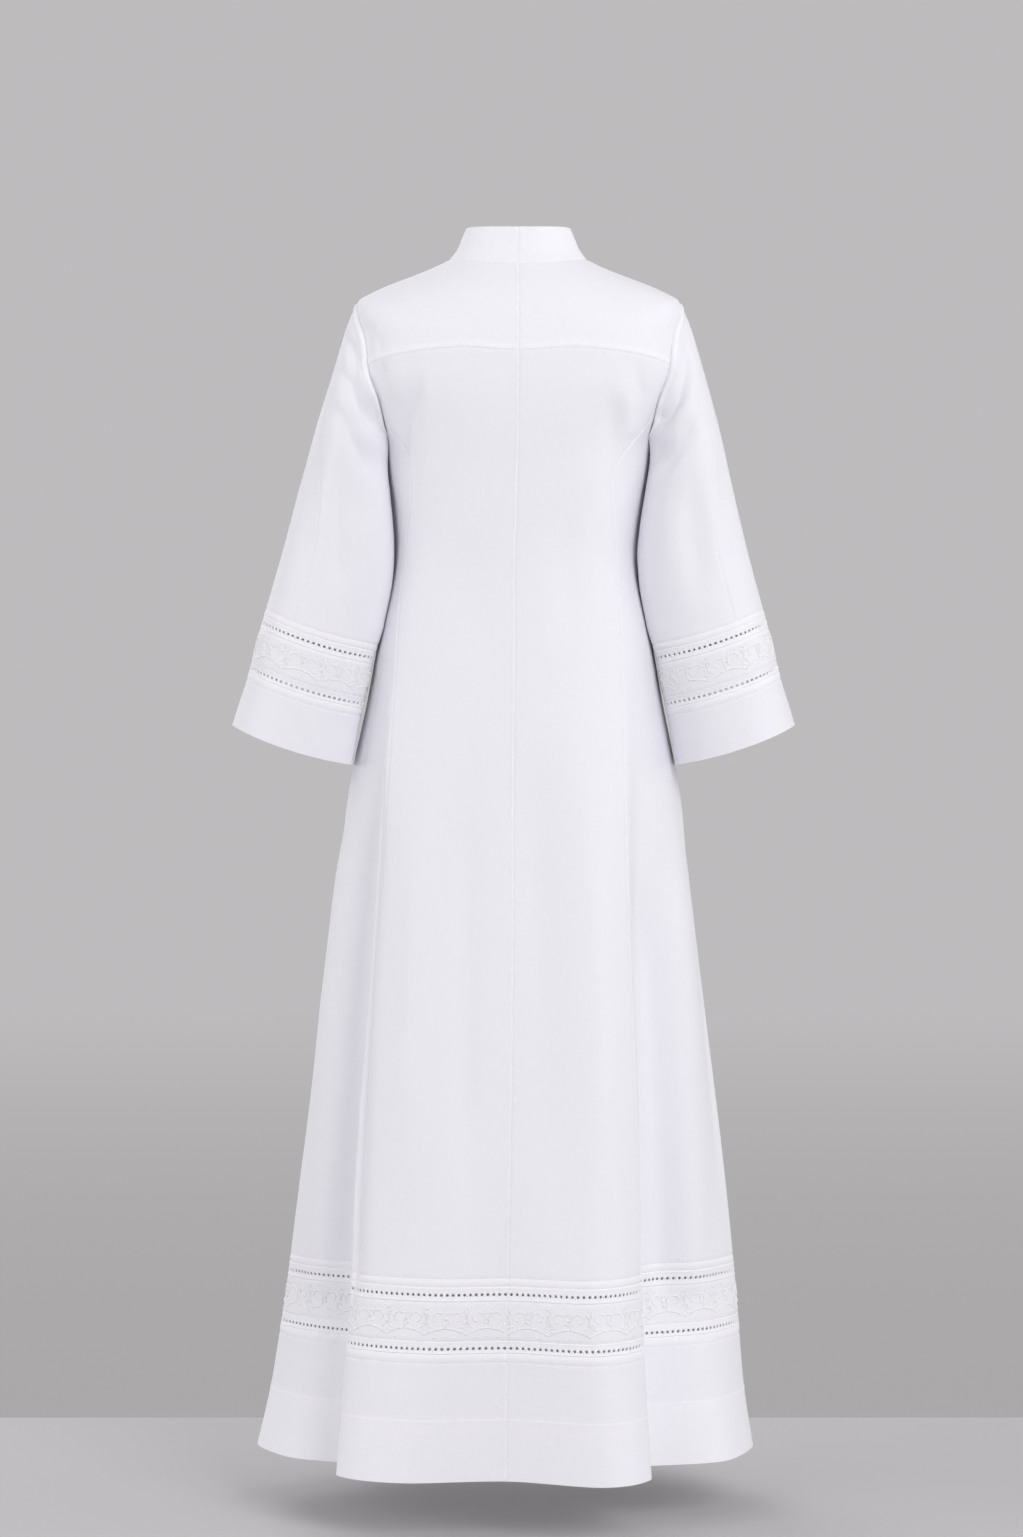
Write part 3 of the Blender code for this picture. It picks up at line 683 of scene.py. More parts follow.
@dataclass(frozen=True)
class CollarForm:
    """The stand collar, from its upper edge down to the neckline."""

    rows: int = 3
    back_z: float = 0.0437
    side_z: float = 0.0476
    front_z: float = -0.0050
    half_width: float = 0.0610
    back_y: float = 0.0520
    front_y: float = -0.0720
    hollow: float = 0.0025
    hollow_low: float = 1.6

    @staticmethod
    def columns() -> list[tuple[int, int]]:
        """Side and body column of each point of the neckline, left half first."""
        half = [*range(PRINCESS_COLUMN + 1), *range(EDGE_COLUMN + 1, HALF + 1)]
        return [(1, column) for column in half] + [(-1, column) for column in half[-2:0:-1]]

    def grid(self, halves: dict) -> Grid:
        """Control points of the collar.

        Args:
            halves: the body's control points.

        Returns:
            The points by row and column, closed by the first column again.
        """
        ring = BodyForm.ring(0.0)
        columns = self.columns()
        grid = {}
        for k in range(len(columns) + 1):
            side, column = columns[k % len(columns)]
            base = halves[side][0, column]
            across = (base[0] - ring["centre_x"]) / ring["half_width"]
            along = base[1] / (ring["back_y"] if base[1] > 0 else -ring["front_y"])
            end_y = self.back_y if along > 0 else -self.front_y
            end_z = self.back_z if along > 0 else self.front_z
            top = np.array((
                ring["centre_x"] + self.half_width * across,
                end_y * along,
                self.side_z + (end_z - self.side_z) * along**2,
            ))
            outward = np.array((across, along, 0.0))
            for row in range(self.rows):
                share = row / self.rows
                hollow = self.hollow * math.sin(math.pi * share**self.hollow_low)
                grid[row, k] = top + (base - top) * share - hollow * outward
            grid[self.rows, k] = base
        return grid


@dataclass(frozen=True)
class SleeveForm:
    """A flared sleeve that starts at the armhole's edge."""

    armhole: Armhole = Armhole()
    squareness: float = 2.15
    blend: float = 3.0
    twist: float = 66.0
    twist_length: float = 7.0

    def loop(self) -> list[tuple[int, int, float]]:
        """Row, column and turn of each point of the armhole, from the shoulder point back."""
        rows = range(SHOULDER_ROWS, UPPER)
        turns = self.armhole.turns
        loop = [(row, PRINCESS_COLUMN, float(turns[row - SHOULDER_ROWS])) for row in rows]
        for column in range(PRINCESS_COLUMN, EDGE_COLUMN):
            loop.append((UPPER, column, self.armhole.underarm_degrees(column)))
        for row in range(UPPER, SHOULDER_ROWS, -1):
            loop.append((row, EDGE_COLUMN, 360.0 - turns[row - SHOULDER_ROWS]))
        return loop

    def point(self, side: int, step: float, turn: float) -> Array:
        """A point of the smooth sleeve.

        Args:
            side: 1 on the wearer's left, -1 on the right.
            step: the ring's number.
            turn: the turn in radians from its outer line to the back.

        Returns:
            The point.
        """
        ring = dict(zip(SLEEVE_COLUMNS, row_between(SLEEVE_RINGS, step)))
        outer = np.array((ring["outer_x"], ring["outer_z"]))
        inner = np.array((ring["inner_x"], ring["inner_z"]))
        middle = 0.5 * (outer + inner)
        reach = 0.5 * (outer - inner)
        down = np.array((reach[1], -reach[0])) / np.linalg.norm(reach)
        back, out = square_turn(turn, self.squareness)
        flat = middle + reach * out + down * ring["droop"] * back**2
        return np.array((ring["centre_x"] + side * flat[0], ring["half_depth"] * back, flat[1]))

    def grid(self, side: int, halves: dict) -> Grid:
        """Control points of a sleeve.

        Args:
            side: 1 on the wearer's left, -1 on the right.
            halves: the body's control points.

        Returns:
            The points by ring and column, closed by the first column again.
        """
        loop = self.loop()
        grid = {}
        for k in range(len(loop) + 1):
            row, column, degrees = loop[k % len(loop)]
            edge = halves[side][row, column]
            grid[0, k] = edge
            turn = math.radians(degrees)
            pull = edge - self.point(side, 0, turn)
            for step in range(1, SLEEVE_END + 1):
                twist = math.radians(self.twist) * smooth_step(step / self.twist_length)
                turned = turn + twist * 0.5 * (1.0 + math.cos(turn))
                kept = 1.0 - smooth_step(step / self.blend)
                grid[step, k] = self.point(side, step, turned) + pull * kept
        return grid


@dataclass
class Lattice:
    """A fine grid of points on one stretch of cloth, with the normal at each.

    Rows and columns are counted in control cells, with FINE steps to a cell. Places
    without cloth hold no number.
    """

    points: Array
    normals: Array
    flip: bool

    def measure(self, axis: int, start: int) -> Array:
        """Distance along the cloth from a row or column.

        Args:
            axis: 0 measures down the columns, 1 along the rows.
            start: the control row or column at which it is 0.

        Returns:
            The distance at each place, in metres.
        """
        steps = np.nan_to_num(np.linalg.norm(np.diff(self.points, axis=axis), axis=2))
        shape = list(steps.shape)
        shape[axis] = 1
        total = np.cumsum(np.concatenate([np.zeros(shape), steps], axis=axis), axis=axis)
        return total - np.take(total, [start * FINE], axis=axis)

    @staticmethod
    def weights(share: Array) -> Array:
        """Weights of the four places round a share of the way between the middle two.

        Args:
            share: the share of each place.

        Returns:
            The four weights of each place.
        """
        t = share
        return 0.5 * np.stack([
            -t + 2 * t**2 - t**3,
            2 - 5 * t**2 + 3 * t**3,
            t + 4 * t**2 - 3 * t**3,
            -(t**2) + t**3,
        ])

    def at(self, values: Array, rows: Array, columns: Array, block: Block) -> Array:
        """Values at places between the lattice's own, on a smooth surface.

        Args:
            values: an array with a value at each place of the lattice.
            rows: control rows of the places, which may lie between two rows.
            columns: control columns of the places.
            block: first and last row and column of the cloth that the places are on.

        Returns:
            The values there.
        """
        found = 0.0
        picks = []
        for place, low, high in ((rows, block[0], block[1]), (columns, block[2], block[3])):
            fine = np.asarray(place, float) * FINE
            whole = np.clip(np.floor(fine + SLACK), low * FINE, high * FINE - 1)
            weights = self.weights(fine - whole)
            around = [np.clip(whole + step, low * FINE, high * FINE) for step in (-1, 0, 1, 2)]
            indices = [index.astype(int) for index in around]
            picks.append((weights, indices))
        for j in range(4):
            for k in range(4):
                weight = picks[0][0][j] * picks[1][0][k]
                picked = values[picks[0][1][j], picks[1][1][k]]
                found = found + (picked * weight[:, None] if values.ndim == 3 else picked * weight)
        return found


class ControlNet:
    """The control points of the whole robe, and the smooth cloth that passes through them."""

    def __init__(self) -> None:
        """Start with no points."""
        self.places: list[Array] = []
        self.numbers: dict[tuple, int] = {}
        self.faces: list[list[int]] = []
        self.marks: list[list[Pair]] = []
        self.stretches: list[tuple[str, int, int, bool]] = []
        self.creased: set[frozenset] = set()

    def point(self, place: Array) -> int:
        """The number of a point, new or already there.

        Args:
            place: the point.

        Returns:
            Its number.
        """
        key = tuple(int(round(value * MICRONS)) for value in place)
        if key not in self.numbers:
            self.numbers[key] = len(self.places)
            self.places.append(np.array(place, float))
        return self.numbers[key]

    def add(self, name: str, grid: Grid, flip: bool) -> None:
        """Take in a stretch of cloth.

        Args:
            name: what the stretch is called.
            grid: its control points by row and column.
            flip: whether rows down and columns on turn the other way seen from outside.
        """
        shift = STRETCH_SPACING * len(self.stretches)
        for row, column in sorted(grid):
            corners = [(row, column), (row, column + 1), (row + 1, column + 1), (row + 1, column)]
            if any(corner not in grid for corner in corners):
                continue
            numbers = [self.point(grid[corner]) for corner in corners]
            if len(set(numbers)) < 4:
                continue
            marks = [(corner[1] + shift, float(corner[0])) for corner in corners]
            self.faces.append(numbers[::-1] if flip else numbers)
            self.marks.append(marks[::-1] if flip else marks)
        rows = max(row for row, _ in grid)
        columns = max(column for _, column in grid)
        self.stretches.append((name, rows, columns, flip))

    def crease(self, line: list[Array]) -> None:
        """Keep the cloth from smoothing across a seam at an angle.

        Args:
            line: the seam's points.
        """
        numbers = [self.point(place) for place in line]
        for pair in zip(numbers, numbers[1:]):
            self.creased.add(frozenset(pair))

    def net_object(self) -> Object:
        """The control net as an object with a live subdivision."""
        mesh = bpy.data.meshes.new("net")
        mesh.from_pydata([tuple(place) for place in self.places], [], self.faces)
        marks = mesh.uv_layers.new(name="mark")
        flat = [value for face in self.marks for corner in face for value in corner]
        marks.data.foreach_set("uv", flat)
        sharp = mesh.attributes.new("crease_edge", "FLOAT", "EDGE")
        values = [float(frozenset(edge.vertices) in self.creased) for edge in mesh.edges]
        sharp.data.foreach_set("value", values)
        net = linked("net", mesh)
        smooth = net.modifiers.new("smooth", "SUBSURF")
        smooth.uv_smooth = "NONE"
        smooth.boundary_smooth = "ALL"
        smooth.use_limit_surface = True
        return net

    @staticmethod
    def smoothed(net: Object, level: int) -> bpy.types.Mesh:
        """The net's smooth mesh at a level of subdivision."""
        net.modifiers["smooth"].levels = level
        net.modifiers["smooth"].render_levels = level
        return evaluated_mesh(net)

    def fit(self, net: Object) -> float:
        """Move the net's points until the smooth cloth passes through their places.

        Args:
            net: the net as an object.

        Returns:
            The largest distance left, in metres.
        """
        count = len(self.places)
        target = np.array(self.places)
        moved = target.copy()
        worst = 0.0
        for _ in range(FIT_ROUNDS):
            mesh = self.smoothed(net, 1)
            found = read(mesh.vertices, "co", 3, float)
            bpy.data.meshes.remove(mesh)
            miss = target - found[:count]
            worst = float(np.linalg.norm(miss, axis=1).max())
            moved += miss
            net.data.vertices.foreach_set("co", moved.ravel())
            net.data.update()
        return worst

    def lattices(self) -> dict[str, Lattice]:
        """The smooth cloth of each stretch as a fine lattice."""
        net = self.net_object()
        worst = self.fit(net)
        LOG.info("form: %d control points, met to %.2f mm", len(self.places), worst * 1000)
        mesh = self.smoothed(net, REFINE)
        points = read(mesh.vertices, "co", 3, float)
        normals = read(mesh.vertex_normals, "vector", 3, np.float32)
        corners = read(mesh.loops, "vertex_index", 1, np.int32)[:, 0]
        marks = read(mesh.uv_layers["mark"].data, "uv", 2, np.float32)
        bpy.data.objects.remove(net, do_unlink=True)
        bpy.data.meshes.remove(mesh)
        places = np.rint(marks * FINE).astype(int)
        owner = np.floor((marks[:, 0] + MARK_SLACK) / STRETCH_SPACING).astype(int)
        found = {}
        for number, (name, rows, columns, flip) in enumerate(self.stretches):
            mine = owner == number
            shape = (rows * FINE + 1, columns * FINE + 1, 3)
            lattice = Lattice(np.full(shape, np.nan), np.full(shape, np.nan), flip)
            row = places[mine, 1]
            column = places[mine, 0] - number * STRETCH_SPACING * FINE
            lattice.points[row, column] = points[corners[mine]]
            lattice.normals[row, column] = normals[corners[mine]]
            found[name] = lattice
        return found


class Side(Enum):
    """A side of the robe, from which a fold is seen and placed."""

    BACK = (0, 2, 1, 1)
    FRONT = (0, 2, 1, -1)
    LEFT = (1, 2, 0, 1)
    RIGHT = (1, 2, 0, -1)


@dataclass(frozen=True)
class Fold:
    """A soft trough, or with a negative depth a ridge, along a line seen from one side.

    The line's points are across and height. Lean makes the flank on the line's right,
    going down it, that much wider than the other.
    """

    side: Side
    line: tuple[Pair, ...]
    width: float
    depth: float
    lean: float = 1.0
    fade: float = 0.35
    reach: float = 3.0
    facing: float = 0.05
    facing_rise: float = 0.3

    def height(self, points: Array, normals: Array) -> Array:
        """How far the fold moves each point out.

        Args:
            points: places on the cloth.
            normals: the cloth's normals there.

        Returns:
            The heights, in metres.
        """
        first, second, out, sign = self.side.value
        flat = points[:, (first, second)]
        reach = self.reach * self.width * max(self.lean, 1.0)
        line = np.array(self.line)
        near = np.all((flat > line.min(0) - reach) & (flat < line.max(0) + reach), axis=1)
        near &= sign * normals[:, out] > self.facing
        height = np.zeros(len(points))
        if not near.any():
            return height
        place = flat[near]
        lengths = np.linalg.norm(np.diff(line, axis=0), axis=1)
        total = lengths.sum()
        best = np.full(len(place), np.inf)
        signed = np.zeros(len(place))
        share = np.zeros(len(place))
        done = 0.0
        for start, end, length in zip(line[:-1], line[1:], lengths):
            along = (end - start) / length
            run = (place - start) @ along
            kept = np.clip(run, 0.0, length)
            away = place - start - kept[:, None] * along
            distance = np.linalg.norm(away, axis=1)
            closer = distance < best
            turn = along[0] * (place - start)[:, 1] - along[1] * (place - start)[:, 0]
            best[closer] = distance[closer]
            signed[closer] = (distance * np.sign(turn))[closer]
            share[closer] = ((done + kept) / total)[closer]
            done += length
        width = self.width * np.where(signed < 0, self.lean, 1.0)
        ends = smooth_step(share / self.fade) * smooth_step((1.0 - share) / self.fade)
        faces = smooth_step((sign * normals[near, out] - self.facing) / self.facing_rise)
        height[near] = -self.depth * np.exp(-((signed / width) ** 2)) * ends * faces
        return height


def folds(table: dict[Side, tuple]) -> tuple[Fold, ...]:
    """Folds from a table in millimetres.

    Args:
        table: for each side its rows: the line as across and height in turn, the width,
            the depth, and the lean and the fade where they aren't the usual ones.

    Returns:
        The folds in metres, in the table's order.
    """
    return tuple(
        Fold(side, tuple(zip(*[iter(MM * np.array(line))] * 2)), MM * width, MM * depth, *more)
        for side, rows in table.items()
        for line, width, depth, *more in rows
    )


BODY_FOLDS = folds({
    Side.BACK: (
        ((165, -65, 170, -100), 5, 1.2),
        ((157, -80, 153, -113), 5, 1.2),
        ((153, -108, 154, -150), 6, 2.2),
        ((108, -118, 110, -149, 124, -194, 131, -262), 10, 6.8, 0.6),
        ((97, -125, 98, -194, 108, -300), 9, -2.6),
        ((-136, -112, -148, -165), 8, 3.2),
        ((-119, -130, -137, -216), 10, -2.8),
        ((-112, -150, -114, -225, -108, -300), 12, 3.4),
        ((45, -300, 52, -380, 50, -470), 22, 3),
        ((-62, -260, -58, -350, -66, -450), 20, 3),
        ((160, -560, 178, -844, 190, -1230), 17, 11.2, 0.8, 0.2),
        ((196, -600, 214, -860, 236, -1240), 17, -6, 1.0, 0.2),
        ((-150, -700, -162, -960, -172, -1240), 15, 11.2, 1.2, 0.2),
        ((-182, -680, -198, -940, -210, -1240), 15, -5, 1.0, 0.2),
        ((-26, -520, -36, -860, -44, -1160), 27, 10.5, 1.2),
        ((46, -520, 52, -800, 56, -1120), 22, 8.4, 0.7),
        ((100, -560, 112, -860, 126, -1140), 24, -6),
        ((-86, -560, -94, -800, -104, -1100), 20, -4.6),
        ((-222, -760, -236, -960, -248, -1180), 13, 5),
    ),
    Side.FRONT: (
        ((122, -120, 104, -170, 96, -240), 9, 3.6, 1.5),
        ((-126, -115, -110, -162, -103, -255), 9, 3.2, 0.7),
        ((130, -160, 122, -215, 112, -300), 10, 2.6),
        ((-132, -150, -128, -210, -118, -280), 11, 2.8),
        ((52, -210, 60, -330, 58, -460), 22, 2.6),
        ((-58, -230, -66, -350, -62, -500), 20, 2.6),
        ((36, -620, 46, -860, 52, -1130), 22, 5.2, 1.3),
        ((-28, -700, -34, -900, -40, -1170), 20, 4.6, 0.8),
        ((108, -560, 124, -800, 138, -1060), 20, -3.4),
        ((-98, -620, -116, -860, -128, -1100), 21, -3.4),
        ((182, -720, 200, -930, 214, -1160), 15, 4.2),
        ((-176, -660, -192, -860, -206, -1090), 15, 4),
    ),
    Side.LEFT: (
        ((-12, -150, -12, -310, -14, -450), 24, -4.5, 1.0, 0.14),
        ((-14, -400, -16, -520, -18, -680), 22, -2.8, 1.0, 0.2),
        ((-34, -250, -30, -360, -38, -470), 13, 2.6),
        ((-44, -620, -50, -860, -54, -1130), 16, 4.4),
        ((20, -560, 16, -760, 10, -980), 18, -3),
    ),
    Side.RIGHT: (
        ((-12, -150, -10, -310, -12, -450), 24, -5, 1.0, 0.14),
        ((-12, -400, -14, -520, -16, -680), 22, -3, 1.0, 0.2),
        ((-30, -260, -26, -380, -32, -480), 12, 2.8),
        ((-40, -680, -48, -900, -56, -1150), 16, 4.2),
        ((30, -600, 34, -820, 30, -1020), 18, -3),
    ),
})
LEFT_SLEEVE_FOLDS = folds({
    Side.BACK: (
        ((196, -74, 188, -104, 178, -142), 6.4, 5.8, 1.3),
        ((203, -112, 182, -158, 150, -206), 7.6, 8.6, 1.4),
        ((190, -106, 170, -144, 152, -174), 7.4, -3.8),
        ((208, -150, 184, -203, 154, -262), 8.8, 8.4, 1.4),
        ((210, -140, 191, -183, 164, -228), 8.6, -3.6),
        ((202, -210, 200, -307, 201, -400), 13, 6.2),
        ((225, -170, 234, -270, 248, -380), 13, 3.6),
        ((174, -270, 180, -350, 190, -415), 11, -3.4),
    ),
    Side.FRONT: (
        ((190, -110, 176, -150, 158, -190), 7, 4),
        ((205, -150, 190, -195, 166, -240), 8, 3.6),
        ((230, -240, 205, -262, 176, -270), 9, 3),
        ((216, -290, 214, -350, 222, -410), 11, 2.8),
    ),
    Side.LEFT: (
        ((-18, -120, -26, -200, -20, -300), 11, 2.8),
        ((30, -180, 24, -260, 30, -350), 11, -1.8),
    ),
    Side.RIGHT: (
        ((30, -150, 34, -310, 32, -460), 22, -10.5, 1.0, 0.16),
        ((32, -400, 32, -520, 34, -700), 22, -7, 1.0, 0.2),
    ),
})
RIGHT_SLEEVE_FOLDS = folds({
    Side.BACK: (
        ((-197, -66, -201, -101, -198, -130, -186, -162, -156, -200), 7.8, 7.4, 0.8, 0.25),
        ((-188, -100, -186, -132, -168, -160), 5, -2.2),
        ((-215, -170, -193, -208, -162, -250), 10, 6, 0.8),
        ((-206, -162, -190, -190, -170, -214), 8, -2.2),
        ((-156, -166, -172, -184), 7, 2.6),
        ((-204, -230, -208, -320, -216, -400), 14, 4.8),
        ((-178, -260, -183, -340, -190, -415), 12, -3),
        ((-236, -190, -247, -290, -262, -390), 13, 3.4),
    ),
    Side.FRONT: (
        ((-192, -106, -180, -152, -160, -186), 7, 3.8),
        ((-208, -158, -190, -200, -168, -232), 8, 3.6),
        ((-234, -250, -206, -272, -178, -282), 9, 3),
        ((-210, -300, -212, -350, -224, -420), 11, 2.6),
    ),
    Side.RIGHT: (
        ((-20, -130, -24, -210, -18, -310), 11, 2.8),
        ((28, -170, 26, -250, 32, -340), 11, -1.8),
    ),
    Side.LEFT: (
        ((30, -150, 34, -310, 32, -460), 21, -9.4, 1.0, 0.16),
        ((32, -400, 32, -520, 34, -700), 21, -5.6, 1.0, 0.2),
    ),
})


@dataclass(frozen=True)
class SeamRoll:
    """A seam allowance pressed to one side, which raises the cloth beside its seam."""

    width: float
    height: float
    rise: float = 0.0018
    # light: how much paler the raised strip is painted in step with its height, a painted highlight
    # where the roll meets the light
    light: float = 1.0

    def at(self, distance: Array) -> Array:
        """Height at each distance from the seam."""
        start = smooth_step(distance / self.rise)
        end = 1.0 - smooth_step((distance - self.width + self.rise) / self.rise)
        return self.height * start * end


@dataclass(frozen=True)
class SewnEdge:
    """How the cloth dips into a seam and swells beside it."""

    dip: float = 0.0005
    dip_width: float = 0.0012
    swell: float = 0.00015
    swell_at: float = 0.004
    swell_width: float = 0.6

    def at(self, distance: Array) -> Array:
        """Height at each distance from the seam."""
        swell = np.exp(-(((distance - self.swell_at) / (self.swell_width * self.swell_at)) ** 2))
        return self.swell * swell - self.dip * np.exp(-((distance / self.dip_width) ** 2))


class LineDistance:
    """Distances of points from a line on the cloth."""

    SPACING = 0.0008

    def __init__(self, segments: Array) -> None:
        """Keep the line, given as segments with two ends each, as close points.

        Args:
            segments: the segments.
        """
        close = []
        for start, end in segments:
            count = max(int(np.linalg.norm(end - start) / self.SPACING), 1)
            shares = np.linspace(0.0, 1.0, count + 1)[:, None]
            close.append(start + (end - start) * shares)
        places = np.concatenate(close)
        self.tree = KDTree(len(places))
        for number, place in enumerate(places):
            self.tree.insert(place, number)
        self.tree.balance()

    @classmethod
    def along(cls, line: Array) -> LineDistance:
        """Distances from a line of points."""
        return cls(np.stack([line[:-1], line[1:]], axis=1))

    def of(self, points: Array) -> Array:
        """Distance of each point."""
        return np.array([self.tree.find(point)[2] for point in points])


@dataclass(frozen=True)
class PressedHem:
    """How a turned-up hem shows outside, in control rows down from its stitches."""

    ridge: float = 0.0004
    ridge_rows: float = 0.020
    light: float = 0.25
    top_light: float = 0.30
    top_rows: float = 0.24
    start: float = 0.02
    rise: float = 0.03
    # painted highlight: how pale a thin line is painted along the hem's stitches, where the ridge
    # meets the light
    stitch_highlight: float = 0.45
    line_rows: float = 0.024

    def height(self, down: Array) -> Array:
        """Height of the ridge at the stitches."""
        return self.ridge * np.exp(-((down / self.ridge_rows) ** 2))

    def double(self, down: Array) -> Array:
        """How much paler the cloth is painted: its two layers, paler still at their top, and a
        painted highlight along the stitches.
        """
        strip = self.light + self.top_light * (1.0 - smooth_step(down / self.top_rows))
        # painted highlight: a pale line painted along the stitch row
        line = self.stitch_highlight * np.exp(-((down / self.line_rows) ** 2))
        return strip * smooth_step((down + self.start) / self.rise) + line


@dataclass
class Cut:
    """The cut of one piece of cloth: the stretch it is on, its cells and its flat size.

    The free row is the control row of its open edge, and no number where it has none.
    """

    name: str
    stretch: str
    blocks: list[Block]
    flat: Pair
    grain: int = 0
    row_step: float = 0.25
    column_step: float = 0.125
    free_row: float = math.nan
    down_from: int = 0
    fill: float = 1.0
    held: str = "hung"


@dataclass
class Shell:
    """A piece of cloth while it is made: its places on the lattice and its faces."""

    rows: Array
    columns: Array
    lift: Array
    faces: list[tuple[int, ...]]


# Places beside seams and hems, in control rows or columns, and the cloth's sizes in metres.
NEAR_SEAM = (0.03, 0.07, 0.14)
CLOTH_THICKNESS = 0.0010
HEM_THICKNESS = 0.0021
EDGE_TURN = math.radians(48)
PINCH = 0.007
HEM_RISE = 0.05
HEM_STEPS = (-0.038, -0.026, -0.014, 0.0, 0.012, 0.024)
YOKE_POINTS = 120
ARMHOLE_POINTS = 400
PRINCESS_POINTS = 300
BACK_POINTS = 500
ON_EDGE = 1e-4


def steps_between(start: float, end: float, step: float, marks: tuple[float, ...] = (),
                  extra: tuple[float, ...] = ()) -> Array:
    """Places from one control row or column to another, closer together beside seams.

    Args:
        start: the first place.
        end: the last place.
        step: the distance between places.
        marks: where seams of the piece run or end.
        extra: further places wanted.

    Returns:
        The places in order.
    """
    count = int(round((end - start) / step))
    places = list(np.linspace(start, end, count + 1)) + list(extra)
    for mark in (start, end, *marks):
        places += [mark + near for near in NEAR_SEAM] + [mark - near for near in NEAR_SEAM]
    return np.array(sorted({round(place, 5) for place in places if start <= place <= end}))


class PanelMaker:
    """Makes the shells of the plain panels."""

    def __init__(self, lattices: dict[str, Lattice], folds: dict[str, tuple[Fold, ...]]) -> None:
        """Keep the form and the folds of each stretch.

        Args:
            lattices: the form of each stretch.
            folds: the folds of each stretch.
        """
        self.lattices = lattices
        self.folds = folds
        self.rolls: dict[str, list[tuple[LineDistance, SeamRoll]]] = {}
        self.pinches: dict[str, LineDistance] = {}
        self.pressed: dict[str, int] = {}
        self.double: dict[str, float] = {}
        self.edge = SewnEdge()
        self.hem = PressedHem()

    def line(self, stretch: str, rows: Array | float, columns: Array | float, block: Block) -> Array:
        """A line of points on a stretch, for seams, where rows or columns may be one number."""
        lattice = self.lattices[stretch]
        return lattice.at(lattice.points, *np.broadcast_arrays(rows, columns), block)

    @staticmethod
    def grid_shell(cut: Cut, extra_rows: tuple[float, ...] = ()) -> Shell:
        """The places and faces of a panel's blocks.

        Args:
            cut: the panel's cut.
            extra_rows: further rows wanted.

        Returns:
            The shell.
        """
        rows: list[Array] = []
        columns: list[Array] = []
        faces = []
        marks = tuple(column for block in cut.blocks for column in block[2:])
        for first_row, last_row, first_column, last_column in cut.blocks:
            down = steps_between(first_row, last_row, cut.row_step, (), extra_rows)
            across = steps_between(first_column, last_column, cut.column_step, marks)
            base = sum(len(part) for part in rows)
            grid = np.arange(len(down) * len(across)).reshape(len(down), len(across)) + base
            row_grid, column_grid = np.meshgrid(down, across, indexing="ij")
            rows.append(row_grid.ravel())
            columns.append(column_grid.ravel())
            quads = np.stack([grid[:-1, :-1], grid[:-1, 1:], grid[1:, 1:], grid[1:, :-1]], axis=2)
            faces += [tuple(quad) for quad in quads.reshape(-1, 4).tolist()]
        all_rows = np.concatenate(rows)
        return Shell(all_rows, np.concatenate(columns), np.zeros(len(all_rows)), faces)

    def surface(self, cut: Cut, shell: Shell) -> tuple[Array, Array, Array]:
        """The cloth at a shell's places.

        Args:
            cut: the piece's cut.
            shell: its places.

        Returns:
            Points, normals, and distances across and down from the grain and the top.
        """
        lattice = self.lattices[cut.stretch]
        across = lattice.measure(1, cut.grain)
        down = lattice.measure(0, cut.down_from)
        points = np.zeros((len(shell.rows), 3))
        normals = np.zeros((len(shell.rows), 3))
        measures = np.zeros((len(shell.rows), 2))
        left = np.ones(len(shell.rows), bool)
        for block in cut.blocks:
            inside = left & (shell.rows >= block[0] - SLACK) & (shell.rows <= block[1] + SLACK)
            inside &= (shell.columns >= block[2] - SLACK) & (shell.columns <= block[3] + SLACK)
            place = (shell.rows[inside], shell.columns[inside], block)
            points[inside] = lattice.at(lattice.points, *place)
            normals[inside] = lattice.at(lattice.normals, *place)
            measures[inside, 0] = lattice.at(across, *place)
            measures[inside, 1] = lattice.at(down, *place)
            left &= ~inside
        return points, unit(normals), measures

    def make(self, cut: Cut, shell: Shell) -> Object:
        """One piece of cloth as a closed thin shell.

        Args:
            cut: the piece's cut.
            shell: its places and faces.

        Returns:
            The piece, with its seam distance, paleness and painted highlights, and cloth
            coordinates.
        """
        points, normals, measures = self.surface(cut, shell)
        rounded = np.round(points / SLACK).astype(np.int64)
        _, first, index = np.unique(rounded, axis=0, return_index=True, return_inverse=True)
        index = index.reshape(-1)
        raw_faces = [
            face for face in shell.faces if len({index[corner] for corner in face}) == len(face)
        ]
        if self.lattices[cut.stretch].flip:
            raw_faces = [face[::-1] for face in raw_faces]
        faces = [tuple(int(index[corner]) for corner in face) for face in raw_faces]
        borders = self.borders(faces)
        rows = shell.rows[first]
        free = np.abs(rows - cut.free_row) < ON_EDGE
        sewn = [(a, b) for a, b in borders if not (free[a] and free[b])]
        base = points[first]
        out = normals[first]
        distance = LineDistance(np.array([(base[a], base[b]) for a, b in sewn])).of(base)
        height = self.edge.at(distance) + shell.lift[first]
        height += self.fold_height(cut.stretch, base, out)
        # paler where the cloth lies in two layers; the hem and the seam rolls below add painted
        # highlights
        double = np.full(len(base), self.double.get(cut.name, 0.0))
        thick = np.full(len(base), CLOTH_THICKNESS)
        hem_row = self.pressed.get(cut.name)
        if hem_row is not None:
            height += self.hem.height(rows - hem_row)
            double = self.hem.double(rows - hem_row)
            more = HEM_THICKNESS - CLOTH_THICKNESS
            thick += more * smooth_step((rows - hem_row) / HEM_RISE)
        for line, roll in self.rolls.get(cut.name, ()):
            raised = roll.at(line.of(base))
            height += raised
